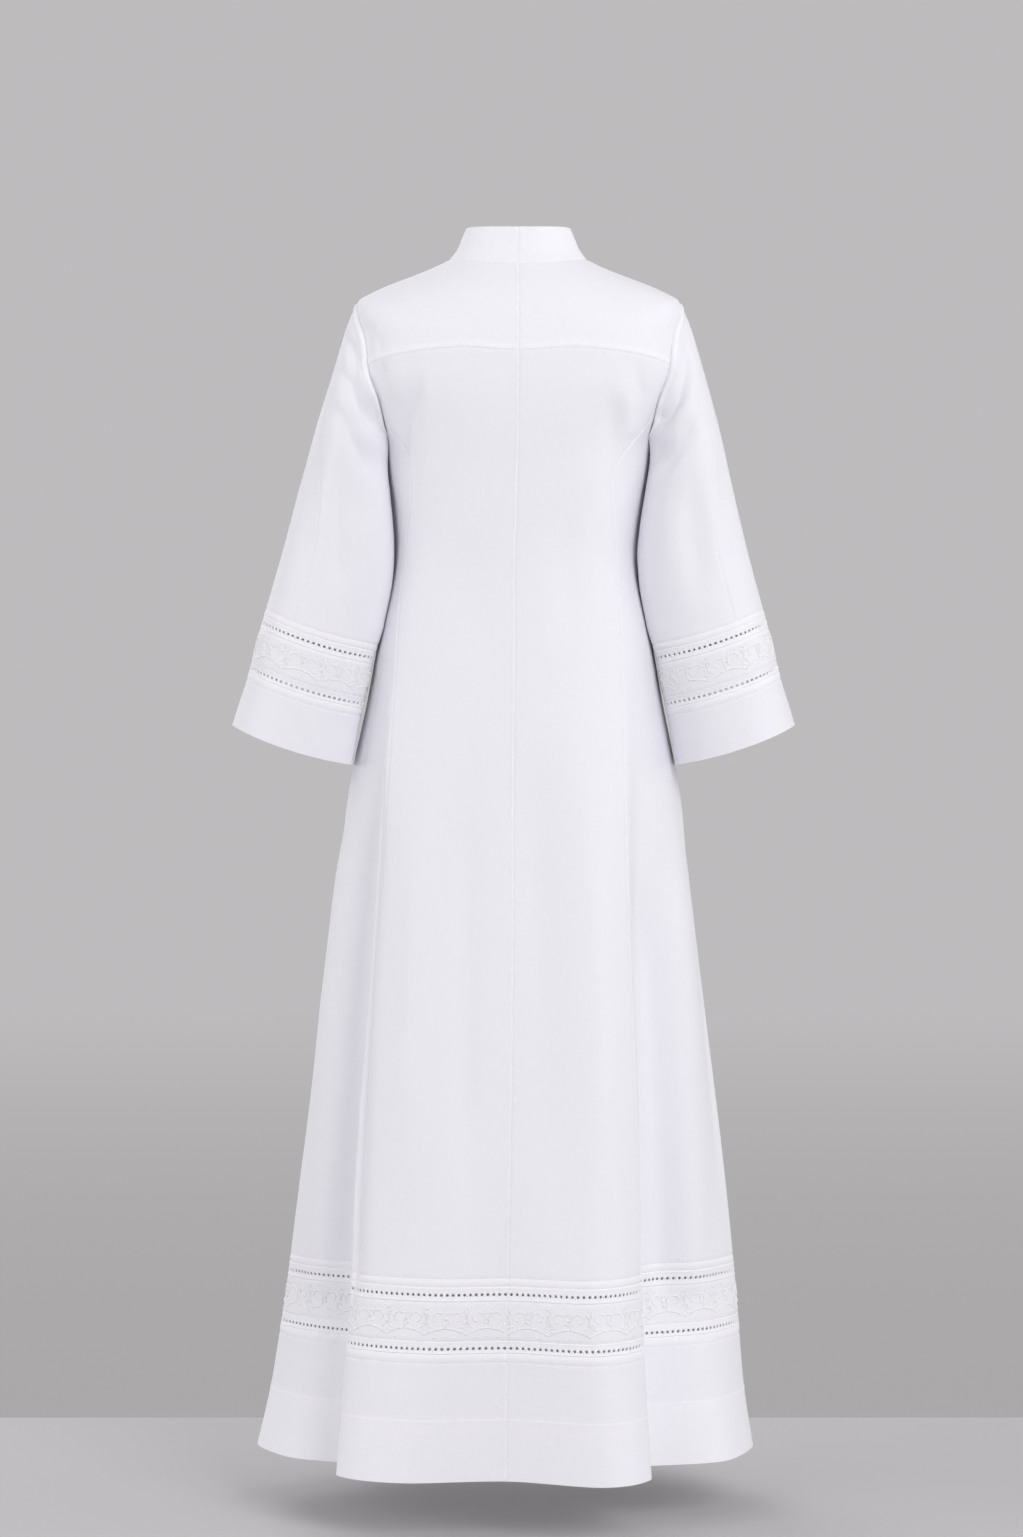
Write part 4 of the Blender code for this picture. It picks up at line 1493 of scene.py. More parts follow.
            # painted highlight: the raised roll beside the seam painted paler in step with its
            # height
            double = np.maximum(double, raised / roll.height * roll.light)
        outer = base + out * height[:, None]
        inner = outer - out * thick[:, None]
        count = len(base)
        walls = faces + [tuple(corner + count for corner in face[::-1]) for face in faces]
        walls += [(b, a, a + count, b + count) for a, b in borders]
        corners = [corner for face in raw_faces for corner in face]
        corners += [corner for face in raw_faces for corner in face[::-1]]
        corners += [int(first[corner]) for a, b in borders for corner in (b, a, a, b)]
        obj = self.mesh_object(f"{cut.name}_cloth", np.concatenate([outer, inner]), walls)
        cloth = obj.data.uv_layers.new(name="cloth")
        cloth.data.foreach_set("uv", measures[corners].ravel())
        for name, values in (("seam", distance), ("double", double)):
            layer = obj.data.attributes.new(name, "FLOAT", "POINT")
            layer.data.foreach_set("value", np.tile(values, 2))
        return obj

    def fold_height(self, stretch: str, points: Array, normals: Array) -> Array:
        """How far the folds of a stretch move points of it out, less beside the armhole.

        Args:
            stretch: the stretch.
            points: the points.
            normals: the cloth's normals there.

        Returns:
            The heights, in metres.
        """
        height = np.zeros(len(points))
        for fold in self.folds[stretch]:
            height += fold.height(points, normals)
        pinch = self.pinches.get(stretch)
        return height * smooth_step(pinch.of(points) / PINCH) if pinch else height

    @staticmethod
    def borders(faces: list[tuple[int, ...]]) -> list[tuple[int, int]]:
        """Edges that only one face has, in that face's direction."""
        edges = [pair for face in faces for pair in zip(face, face[1:] + face[:1])]
        found = set(edges)
        return [(a, b) for a, b in edges if (b, a) not in found]

    @staticmethod
    def mesh_object(name: str, places: Array, faces: list) -> Object:
        """A smooth-shaded object with sharp rims.

        Args:
            name: its name.
            places: its points.
            faces: the numbers of each face's points.

        Returns:
            The object.
        """
        mesh = bpy.data.meshes.new(name)
        mesh.from_pydata(places.tolist(), [], faces)
        mesh.shade_smooth()
        mesh.set_sharp_from_angle(angle=EDGE_TURN)
        mesh.validate()
        return linked(name, mesh)


@dataclass(frozen=True)
class Openwork:
    """The layout of an embroidered band, from its upper edge down, in metres.

    Every height is given for a band of the skirt's height and scaled to the band's own.
    """

    height: float = 0.0910
    pitch: float = 0.0066
    hole_width: float = 0.0034
    hole_height: float = 0.0029
    rim: float = 1.40
    rim_lift: float = 0.0004
    strips: tuple[Pair, ...] = ((0.0135, 0.0211), (0.0720, 0.0796))
    field_top: float = 0.0268
    field_bottom: float = 0.0668
    field_rows: int = 11
    field_lift: float = 0.0003
    bar_size: Triple = (0.0050, 0.0015, 0.0010)
    bar_lift: float = 0.0001
    levels: tuple[Pair, ...] = (
        (0.0000, 0.0000), (0.0011, 0.0002), (0.0045, 0.0003), (0.0078, 0.0002),
        (0.0087, -0.0004), (0.0096, 0.0003), (0.0106, 0.0004), (0.0117, 0.0000),
        (0.0222, 0.0000), (0.0232, 0.0006), (0.0241, 0.0006), (0.0250, -0.0003),
        (0.0679, -0.0004), (0.0689, 0.0004), (0.0703, 0.0000), (0.0806, 0.0005),
        (0.0815, -0.0004), (0.0826, 0.0003), (0.0866, 0.0003), (0.0899, 0.0002),
        (0.0910, 0.0000),
    )

    def rows(self) -> list[Pair]:
        """Every row of the band as its distance from the upper edge and its height."""
        found = dict(self.levels)
        for top, bottom in self.strips:
            found[top] = 0.0
            found[0.5 * (top + bottom)] = 0.0
            found[bottom] = 0.0
        for step in range(self.field_rows):
            share = step / (self.field_rows - 1)
            down = self.field_top + (self.field_bottom - self.field_top) * share
            found[down] = self.field_lift
        return sorted(found.items())


class BandMaker:
    """Makes the openwork bands with their holes, and finds where things lie on them."""

    CORNERS = ((0, 0), (0, 1), (0, 2), (0, 3), (1, 3), (2, 3), (2, 2), (2, 1), (2, 0), (1, 0))

    def __init__(self, panels: PanelMaker, layout: Openwork) -> None:
        """Keep the panel maker and the layout."""
        self.panels = panels
        self.layout = layout

    def column_scale(self, cut: Cut) -> tuple[Array, Array, float]:
        """Distance along the middle of a band against its columns, and the total.

        Args:
            cut: the band's cut.

        Returns:
            The distances, their columns and the total.
        """
        first_row, last_row, first, last = cut.blocks[0]
        lattice = self.panels.lattices[cut.stretch]
        middle = (first_row + last_row) * FINE // 2
        along = lattice.measure(1, first)[middle, first * FINE : last * FINE + 1]
        return along, np.arange(first * FINE, last * FINE + 1) / FINE, float(along[-1])

    def holes_along(self, cut: Cut) -> int:
        """The number of holes in a row of the band."""
        return int(round(self.column_scale(cut)[2] / self.layout.pitch))

    def place(self, cut: Cut, along: Array, down: Array) -> tuple[Array, Array]:
        """Where places on the band lie on its lattice.

        Args:
            cut: the band's cut.
            along: their distances along the band.
            down: their distances down from its top, on a band of the skirt's height.

        Returns:
            Their control rows and columns.
        """
        first_row, last_row, first, last = cut.blocks[0]
        lengths, columns, _ = self.column_scale(cut)
        fine_rows = np.arange(first_row * FINE, last_row * FINE + 1)
        drops = self.panels.lattices[cut.stretch].measure(0, first_row)
        drop = drops[fine_rows, first * FINE : last * FINE + 1].mean(axis=1)
        share = np.asarray(down) / self.layout.height
        rows = np.interp(share * drop[-1], drop, fine_rows / FINE)
        return rows, np.interp(along, lengths, columns)

    def shell(self, cut: Cut) -> Shell:
        """The places and faces of a band, with an oval hole in each cell of its hole rows.

        Args:
            cut: the band's cut.

        Returns:
            The shell.
        """
        layout = self.layout
        total = self.column_scale(cut)[2]
        holes = self.holes_along(cut)
        pitch = total / holes
        steps = np.arange(3 * holes + 1) * pitch / 3
        rows = layout.rows()
        downs = [row[0] for row in rows]
        along = list(np.tile(steps, len(rows)))
        down = list(np.repeat(downs, len(steps)))
        lift = list(np.repeat([row[1] for row in rows], len(steps)))
        grid = np.arange(len(along)).reshape(len(rows), len(steps))
        strips = [downs.index(0.5 * (top + bottom)) for top, bottom in layout.strips]
        faces = []
        for row in range(len(rows) - 1):
            if row not in strips and row + 1 not in strips:
                upper, lower = grid[row], grid[row + 1]
                quads = np.stack([upper[:-1], upper[1:], lower[1:], lower[:-1]], axis=1)
                faces += [tuple(quad) for quad in quads.tolist()]
        for middle in strips:
            half = np.array((0.5 * pitch, 0.5 * (downs[middle + 1] - downs[middle - 1])))
            for hole in range(holes):
                corners = [int(grid[middle - 1 + r, 3 * hole + c]) for r, c in self.CORNERS]
                centre = np.array(((hole + 0.5) * pitch, downs[middle]))
                away = (np.array([(along[k], down[k]) for k in corners]) - centre) / half
                turns = [math.atan2(y, x) for x, y in away]
                outer = corners
                for scale, raised in ((layout.rim, layout.rim_lift), (1.0, 0.0)):
                    inner = list(range(len(along), len(along) + len(corners)))
                    width = 0.5 * layout.hole_width * scale
                    height = 0.5 * layout.hole_height * scale
                    along += [centre[0] + width * math.cos(turn) for turn in turns]
                    down += [centre[1] + height * math.sin(turn) for turn in turns]
                    lift += [raised] * len(corners)
                    for k in range(len(corners)):
                        after = (k + 1) % len(corners)
                        faces.append((outer[k], outer[after], inner[after], inner[k]))
                    outer = inner
        return Shell(*self.place(cut, np.array(along), np.array(down)), np.array(lift), faces)


class Signal:
    """A socket that shader maths is written on."""

    def __init__(self, tree: NodeTree, socket: bpy.types.NodeSocket) -> None:
        """Keep the tree and the socket."""
        self.tree = tree
        self.socket = socket

    def __add__(self, other: Signal | float) -> Signal:
        """Sum."""
        return self.tree.math("ADD", self, other)

    def __mul__(self, other: Signal | float) -> Signal:
        """Product."""
        return self.tree.math("MULTIPLY", self, other)

    def __rsub__(self, other: float) -> Signal:
        """Difference from a number."""
        return self.tree.math("SUBTRACT", other, self)

    __radd__ = __add__
    __rmul__ = __mul__

    def sine(self) -> Signal:
        """Sine of the value in radians."""
        return self.tree.math("SINE", self)

    def fall(self, length: float) -> Signal:
        """1 at zero, falling away by a length."""
        return self.tree.math("EXPONENT", self * (-1.0 / length))

    def between(self, low: float, high: float) -> Signal:
        """0 below low and 1 above high, with level ends."""
        values = {"Value": self, "From Min": low, "From Max": high}
        settings = {"interpolation_type": "SMOOTHSTEP"}
        return self.tree.signal("ShaderNodeMapRange", settings, values, "Result")


class NodeTree:
    """A node tree that is written as expressions."""

    def __init__(self, tree: bpy.types.NodeTree) -> None:
        """Keep the tree."""
        self.tree = tree

    def node(self, kind: str, settings: dict, values: dict) -> bpy.types.Node:
        """A node with its settings, then its sockets' values or links.

        Args:
            kind: the node's type.
            settings: the node's own options.
            values: a value or a Signal for sockets, by name or number.

        Returns:
            The node.
        """
        node = self.tree.nodes.new(kind)
        for key, value in settings.items():
            setattr(node, key, value)
        for key, value in values.items():
            self.feed(node.inputs[key], value)
        return node

    def feed(self, socket: bpy.types.NodeSocket, value: object) -> None:
        """Link a Signal to a socket, or set its value.

        Args:
            socket: the socket.
            value: a Signal, a number, a vector or a colour of three numbers.
        """
        if isinstance(value, Signal):
            self.tree.links.new(value.socket, socket)
        else:
            socket.default_value = (*value, 1.0) if socket.type == "RGBA" else value

    def signal(self, kind: str, settings: dict, values: dict, output: int | str = 0) -> Signal:
        """One output of a new node, which is made as node() makes it."""
        return Signal(self, self.node(kind, settings, values).outputs[output])

    def math(self, operation: str, *values: Signal | float) -> Signal:
        """A Math node on one or two values."""
        return self.signal("ShaderNodeMath", {"operation": operation}, dict(enumerate(values)))


class FinishTree(NodeTree):
    """The node tree of a material."""

    def __init__(self, name: str) -> None:
        """Make the material, with its own Principled shader."""
        self.material = bpy.data.materials.new(name)
        self.material.use_nodes = True
        super().__init__(self.material.node_tree)

    def surface(self, values: dict[str, object]) -> bpy.types.Material:
        """The material, with values or Signals on its shader's sockets."""
        for name, value in values.items():
            self.feed(self.tree.nodes["Principled BSDF"].inputs[name], value)
        return self.material

    def attribute(self, name: str) -> Signal:
        """A number that the piece has at each of its points."""
        return self.signal("ShaderNodeAttribute", {"attribute_name": name}, {}, "Fac")

    def place(self) -> Signal:
        """The place on the object, in metres."""
        return self.signal("ShaderNodeTexCoord", {}, {}, "Object")

    def parts(self, vector: Signal) -> list[Signal]:
        """The three parts of a vector."""
        node = self.node("ShaderNodeSeparateXYZ", {}, {0: vector})
        return [Signal(self, socket) for socket in node.outputs]

    def noise(self, vector: Signal, scale: float, detail: float, roughness: float = 0.5) -> Signal:
        """A noise value from 0 to 1."""
        values = {"Vector": vector, "Scale": scale, "Detail": detail, "Roughness": roughness}
        return self.signal("ShaderNodeTexNoise", {}, values)

    def scaled(self, vector: Signal, scale: Triple) -> Signal:
        """A vector times a scale for each axis."""
        return self.signal("ShaderNodeMapping", {}, {"Vector": vector, "Scale": scale})

    def mix(self, factor: Signal, first: Triple | Signal, second: Triple | Signal) -> Signal:
        """A colour between two."""
        values = {0: factor, 6: first, 7: second}
        return self.signal("ShaderNodeMix", {"data_type": "RGBA"}, values, 2)

    def bump(self, height: Signal) -> Signal:
        """The normal of a surface raised by a height in metres."""
        values = {"Height": height, "Distance": 1.0, "Strength": 1.0}
        return self.signal("ShaderNodeBump", {}, values)


class StitchTree(NodeTree):
    """The Geometry Nodes tree that puts one rounded stitch on every point."""

    SOCKETS = {
        "Geometry": "NodeSocketGeometry", "Segments": "NodeSocketInt", "Rings": "NodeSocketInt",
        "Unevenness": "NodeSocketFloat", "Seed": "NodeSocketInt", "Thread": "NodeSocketMaterial",
    }

    def __init__(self) -> None:
        """Make the tree."""
        super().__init__(bpy.data.node_groups.new("stitches", "GeometryNodeTree"))
        for name, kind in self.SOCKETS.items():
            self.tree.interface.new_socket(name, in_out="INPUT", socket_type=kind)
        kind = self.SOCKETS["Geometry"]
        self.tree.interface.new_socket("Geometry", in_out="OUTPUT", socket_type=kind)
        outputs = self.node("NodeGroupInput", {}, {}).outputs
        points, segments, rings, unevenness, seed, thread = (
            Signal(self, outputs[name]) for name in self.SOCKETS
        )
        sizes = {"Segments": segments, "Rings": rings, "Radius": 0.5}
        ball = self.signal("GeometryNodeMeshUVSphere", {}, sizes)
        rotation = self.signal("FunctionNodeEulerToRotation", {}, {"Euler": self.named("turn")})
        limits = {2: 1.0 - unevenness, 3: 1.0, "Seed": seed}
        uneven = self.signal("FunctionNodeRandomValue", {"data_type": "FLOAT"}, limits, 1)
        values = {0: self.named("size"), "Scale": uneven}
        scale = self.signal("ShaderNodeVectorMath", {"operation": "SCALE"}, values)
        stitches = self.signal("GeometryNodeInstanceOnPoints", {}, {
            "Points": points, "Instance": ball, "Rotation": rotation, "Scale": scale,
        })
        made = self.signal("GeometryNodeRealizeInstances", {}, {"Geometry": stitches})
        smooth = self.signal("GeometryNodeSetShadeSmooth", {}, {"Geometry": made})
        values = {"Geometry": smooth, "Material": thread}
        finished = self.signal("GeometryNodeSetMaterial", {}, values)
        self.node("NodeGroupOutput", {}, {"Geometry": finished})

    def named(self, name: str) -> Signal:
        """A vector that each point has."""
        kind = "GeometryNodeInputNamedAttribute"
        return self.signal(kind, {"data_type": "FLOAT_VECTOR"}, {"Name": name}, "Attribute")


@dataclass(frozen=True)
class HemStitch:
    """The stitches of a turned-up hem, and what the stitch tree takes for them."""

    pitch: float = 0.0034
    size: Triple = (0.0024, 0.0006, 0.0005)
    rows_above: float = 0.004
    lift: float = -0.0002
    settings: Settings = (("Segments", 6), ("Rings", 3), ("Unevenness", 0.15), ("Seed", 3))


class StitchLayer:
    """Lays stitches on a stretch of cloth and makes them a mesh by Geometry Nodes."""

    ASIDE = 0.04

    def __init__(self, panels: PanelMaker, thread: bpy.types.Material) -> None:
        """Keep the panel maker and the thread, and make the tree."""
        self.panels = panels
        self.thread = thread
        self.tree = StitchTree().tree

    def lay(self, cut: Cut, rows: Array, columns: Array, angles: Array,
            sizes: Array, lift: float) -> tuple[Array, ...]:
        """Stitches at places of the lattice.

        Args:
            cut: the piece that they are on.
            rows: control rows.
            columns: control columns.
            angles: direction of each stitch, from along the row towards down.
            sizes: length, width and height of each stitch.
            lift: how far the stitches' middle lies from the form.

        Returns:
            Their places, turns and sizes.
        """
        lattice = self.panels.lattices[cut.stretch]
        block = cut.blocks[0]
        here = lattice.at(lattice.points, rows, columns, block)
        normal = unit(lattice.at(lattice.normals, rows, columns, block))
        beside = [np.clip(columns + step, *block[2:]) for step in (self.ASIDE, -self.ASIDE)]
        on, back = (lattice.at(lattice.points, rows, place, block) for place in beside)
        across = on - back
        across = unit(across - normal * np.sum(across * normal, axis=1)[:, None])
        down = np.cross(across, normal) * (1.0 if lattice.flip else -1.0)
        along = across * np.cos(angles)[:, None] + down * np.sin(angles)[:, None]
        side = np.cross(normal, along)
        height = lift + self.panels.fold_height(cut.stretch, here, normal)
        axes = zip(along, side, normal)
        turns = np.array([Matrix(three).transposed().to_euler() for three in axes])
        return here + normal * height[:, None], turns, sizes

    def make(self, name: str, groups: list, settings: Settings) -> Object:
        """The stitches as one plain mesh.

        Args:
            name: the piece's name.
            groups: the places, turns and sizes of its stitches.
            settings: the tree's sizes by name.

        Returns:
            The piece.
        """
        mesh = bpy.data.meshes.new(name)
        places, turns, sizes = (np.concatenate(part) for part in zip(*groups))
        mesh.from_pydata(places.tolist(), [], [])
        for key, values in (("turn", turns), ("size", sizes)):
            attribute = mesh.attributes.new(key, "FLOAT_VECTOR", "POINT")
            attribute.data.foreach_set("vector", values.ravel())
        obj = linked(name, mesh)
        modifier = obj.modifiers.new("stitches", "NODES")
        modifier.node_group = self.tree
        inputs = dict(settings, Thread=self.thread)
        for item in self.tree.interface.items_tree:
            if item.in_out == "INPUT" and item.name in inputs:
                modifier[item.identifier] = inputs[item.name]
        made = evaluated_mesh(obj)
        obj.modifiers.remove(modifier)
        obj.data = made
        made.name = name
        return obj


@dataclass(frozen=True)
class Curl:
    """A line of stitches that winds inward: its middle, start angle, turn and first radius."""

    middle: Pair
    start: float
    sweep: float
    radius: float
    shrink: float = 0.76


@dataclass(frozen=True)
class Flower:
    """A ring of petals: its middle, its radius, the length of a petal and their number."""

    middle: Pair
    radius: float
    petal: float
    petals: int


@dataclass(frozen=True)
class VineMotif:
    """One repeat of the embroidered vine.

    Places are the share of the repeat along the band and metres down from its top.
    """

    length: float = 0.046
    vine_down: float = 0.0608
    scallop: float = 0.0075
    stitch: float = 0.0021
    thread: float = 0.0014
    height: float = 0.0015
    spacing: float = 0.0011
    slant: float = 0.5
    curls: tuple[Curl, ...] = (
        Curl((0.255, 0.0430), 0.55, 5.0, 0.0094, 0.70),
        Curl((0.745, 0.0430), math.pi - 0.55, -5.0, 0.0094, 0.70),
        Curl((0.245, 0.0430), 3.60, 1.6, 0.0126, 0.15),
        Curl((0.755, 0.0430), math.pi - 3.60, -1.6, 0.0126, 0.15),
        Curl((0.000, 0.0490), 1.57, 4.6, 0.0052, 0.60),
    )
    flowers: tuple[Flower, ...] = (
        Flower((0.500, 0.0400), 0.0033, 0.0034, 9),
        Flower((0.000, 0.0345), 0.0030, 0.0032, 8),
    )
    dots: tuple[Pair, ...] = (
        (0.11, 0.0300), (0.20, 0.0322), (0.31, 0.0300), (0.40, 0.0330), (0.60, 0.0330),
        (0.69, 0.0300), (0.80, 0.0322), (0.89, 0.0300), (0.11, 0.0400), (0.89, 0.0400),
    )
    leaves: tuple[Triple, ...] = (
        (0.07, 0.0560, -0.6), (0.15, 0.0575, 0.8), (0.37, 0.0545, -0.9), (0.44, 0.0475, 0.9),
        (0.56, 0.0475, -0.9), (0.63, 0.0545, 0.9), (0.85, 0.0575, -0.8), (0.93, 0.0560, 0.6),
        (0.50, 0.0625, 0.0), (0.25, 0.0635, 0.3), (0.75, 0.0635, -0.3), (0.42, 0.0365, 1.2),
        (0.58, 0.0365, -1.2), (0.06, 0.0385, -1.0), (0.94, 0.0385, 1.0),
    )
    dot_scale: float = 0.8
    leaf_scale: float = 1.5
    lift: float = 0.0006
    path_points: int = 60
    scallop_power: float = 0.8
    stem_points: int = 30
    stem_sway: float = 0.05
    stem_length: float = 0.0100
    look_ahead: float = 0.0005
    settings: Settings = (("Segments", 5), ("Rings", 3), ("Unevenness", 0.2), ("Seed", 7))

    def curl_path(self, curl: Curl) -> Array:
        """Points along a curl.

        Args:
            curl: the curl.

        Returns:
            The points, along and down.
        """
        t = np.linspace(0.0, 1.0, self.path_points)
        radius = curl.radius * (1.0 - curl.shrink * t)
        angle = curl.start - curl.sweep * t
        along = curl.middle[0] * self.length + radius * np.cos(angle)
        return np.stack([along, curl.middle[1] + radius * np.sin(angle)], axis=1)

    def vine_path(self) -> Array:
        """Points along the scalloped vine."""
        t = np.linspace(0.0, 1.0, self.path_points)
        down = self.vine_down - self.scallop * np.abs(np.sin(math.pi * t)) ** self.scallop_power
        return np.stack([t * self.length, down], axis=1)

    def stem_path(self) -> Array:
        """Points along the stem from the vine up to the flower."""
        t = np.linspace(0.0, 1.0, self.stem_points)
        along = self.length * (0.5 + self.stem_sway * np.sin(2.0 * math.pi * t))
        down = self.vine_down - self.scallop - t * self.stem_length
        return np.stack([along, down], axis=1)

    def along_path(self, path: Array) -> list[Four]:
        """Slanting satin stitches along a line.

        Args:
            path: the line's points.

        Returns:
            For each stitch: along, down, angle and scale.
        """
        lengths = run_along(path)
        count = max(int(lengths[-1] / self.spacing), 2)
        places = (np.arange(count) + 0.5) * lengths[-1] / count
        found = []
        for place in places:
            near = (place, place + self.look_ahead, place - self.look_ahead)
            here, ahead, back = np.stack([np.interp(near, lengths, part) for part in path.T], 1)
            angle = math.atan2(ahead[1] - back[1], ahead[0] - back[0])
            found.append((here[0], here[1], angle + self.slant, 1.0))
        return found

    def stitches(self) -> list[Four]:
        """Every stitch of one repeat: along, down, angle and scale."""
        found = self.along_path(self.vine_path()) + self.along_path(self.stem_path())
        for curl in self.curls:
            found += self.along_path(self.curl_path(curl))
        for flower in self.flowers:
            for k in range(flower.petals):
                angle = 2.0 * math.pi * k / flower.petals
                x = flower.middle[0] * self.length + flower.radius * math.cos(angle)
                y = flower.middle[1] + flower.radius * math.sin(angle)
                found.append((x, y, angle, flower.petal / self.stitch))
        for share, down in self.dots:
            found.append((share * self.length, down, self.slant, self.dot_scale))
        for share, down, angle in self.leaves:
            found.append((share * self.length, down, angle, self.leaf_scale))
        return found


@dataclass(frozen=True)
class WovenFinish:
    """White woven cloth, with a thread to be seen close up and puckers at its seams."""

    name: str
    colour: Triple
    shade: Triple
    double: Triple
    thread: float
    weave_height: float
    crease_height: float
    pucker_height: float
    roughness: float
    field: Pair | None = None
    field_height: float = 0.0
    # painted shade: how much darker the embroidered field's ground is painted, as the shade among
    # its raised stitches
    field_painted_shade: float = 0.0
    field_edge: float = 0.0012
    field_grain: float = 1300.0
    slub_scale: Triple = (1400.0, 90.0, 1.0)
    weft_scale: Triple = (70.0, 1500.0, 1.0)
    crease_stretch: Triple = (1.0, 1.0, 0.45)
    crease_scale: float = 34.0
    pucker_scale: float = 260.0
    pucker_width: float = 0.006
    seam_line: float = 0.0004
    # painted shade: how dark a thin line is painted along every seam, as the shadow in its groove
    seam_painted_shade: float = 0.3
    slub_height: float = 0.8
    slub_range: Pair = (0.6, 1.4)
    slub_tone: float = 0.4
    slub_gloss: float = 0.1
    specular: float = 0.25
    sheen: float = 0.08

    def material(self) -> bpy.types.Material:
        """The finish as a material."""
        tree = FinishTree(self.name)
        cloth = Signal(tree, tree.node("ShaderNodeUVMap", {"uv_map": "cloth"}, {}).outputs[0])
        place = tree.place()
        across, down, _ = tree.parts(cloth)
        seam = tree.attribute("seam")
        turns = math.pi / self.thread
        weave = (across * turns).sine() * (down * turns).sine()
        slub = tree.noise(tree.scaled(cloth, self.slub_scale), 1.0, 2.0)
        weft = tree.noise(tree.scaled(cloth, self.weft_scale), 1.0, 2.0)
        stretched = tree.scaled(place, self.crease_stretch)
        crease = tree.noise(stretched, self.crease_scale, 3.0, 0.55)
        pucker = tree.noise(place, self.pucker_scale, 1.0) * seam.fall(self.pucker_width)
        height = (
            weave * self.weave_height
            + (slub + weft) * (self.slub_height * self.weave_height)
            + crease * self.crease_height
            + pucker * self.pucker_height
        )
        # random tone of the thread, then painted shade along the seams and over the embroidered
        # field
        tone_and_shade = (slub + weft).between(*self.slub_range) * self.slub_tone
        # painted shade: a thin dark line painted along each seam, where its groove lies in shadow
        tone_and_shade = tone_and_shade + seam.fall(self.seam_line) * self.seam_painted_shade
        if self.field is not None:
            top, bottom = self.field
            inside = down.between(top, top + self.field_edge)
            inside = inside * (1.0 - down.between(bottom - self.field_edge, bottom))
            grain = tree.noise(cloth, self.field_grain, 2.0, 0.7)
            height = height + grain * inside * self.field_height
            # painted shade: the embroidered field's ground painted darker, as the shade among its
            # stitches
            tone_and_shade = tone_and_shade + inside * self.field_painted_shade
        # paler where the cloth lies in two layers, and painted highlights on the seam rolls and
        # along the hem's stitches
        ground = tree.mix(tree.attribute("double"), self.colour, self.double)
        return tree.surface({
            "Base Color": tree.mix(tone_and_shade, ground, self.shade),
            "Roughness": slub * self.slub_gloss + (self.roughness - 0.5 * self.slub_gloss),
            "Normal": tree.bump(height),
            "Specular IOR Level": self.specular,
            "Sheen Weight": self.sheen,
        })


@dataclass(frozen=True)
class ThreadFinish:
    """White twisted embroidery thread with a soft gloss."""

    name: str
    colour: Triple
    shade: Triple
    roughness: float
    grain_scale: float = 2200.0
    grain_height: float = 0.00008
    grain_gloss: float = 0.15
    gloss: float = 0.07

    def material(self) -> bpy.types.Material:
        """The finish as a material."""
        tree = FinishTree(self.name)
        grain = tree.noise(tree.place(), self.grain_scale, 2.0)
        return tree.surface({
            "Base Color": tree.mix(grain, self.shade, self.colour),
            "Roughness": grain * self.grain_gloss + (self.roughness - self.gloss),
            "Normal": tree.bump(grain * self.grain_height),
        })


@dataclass(frozen=True)
class StageFinish:
    """A plain pale studio floor, which returns a little light of its own into shadows."""

    name: str
    colour: Triple
    glow: float
    roughness: float = 0.8
    shade: float = 0.96
    mottle: float = 1.5

    def material(self) -> bpy.types.Material:
        """The finish as a material."""
        tree = FinishTree(self.name)
        shade = tuple(self.shade * value for value in self.colour)
        mottle = tree.noise(tree.place(), self.mottle, 2.0)
        return tree.surface({
            "Base Color": tree.mix(mottle, shade, self.colour),
            "Roughness": self.roughness,
            "Emission Color": self.colour,
            "Emission Strength": self.glow,
        })


@dataclass(frozen=True)
class BackdropFinish:
    """A grey that glows with light of its own, a painted light dimmer at the floor's edge that
    clears with the distance from it.
    """

    name: str
    near: Triple
    far: Triple
    near_y: float
    reach: float

    def material(self) -> bpy.types.Material:
        """The finish as a material."""
        tree = FinishTree(self.name)
        along = tree.parts(tree.place())[1]
        away = 1.0 - along.between(self.near_y - self.reach, self.near_y)
        return tree.surface({
            "Base Color": (0.0, 0.0, 0.0),
            "Specular IOR Level": 0.0,
            "Emission Color": tree.mix(away, self.near, self.far),
            "Emission Strength": 1.0,
        })


ROBE_CLOTH = WovenFinish(
    "robe_weave", (0.885, 0.885, 0.935), (0.80, 0.80, 0.85), (0.96, 0.96, 0.985), thread=0.00050,
    weave_height=0.000018, crease_height=0.0011, pucker_height=0.0008, roughness=0.82,
)
BAND_CLOTH = WovenFinish(
    "band_weave", (0.93, 0.93, 0.965), (0.80, 0.80, 0.84), (0.97, 0.97, 0.985), thread=0.00042,
    weave_height=0.000016, crease_height=0.0005, pucker_height=0.0002, roughness=0.78,
    field=(0.0255, 0.0676), field_height=0.00016, field_painted_shade=0.24,
)
THREAD = ThreadFinish("white_thread", (0.985, 0.985, 0.99), (0.94, 0.94, 0.96), 0.5)
FLOOR = StageFinish("studio_floor", (0.40, 0.39, 0.40), 0.28)


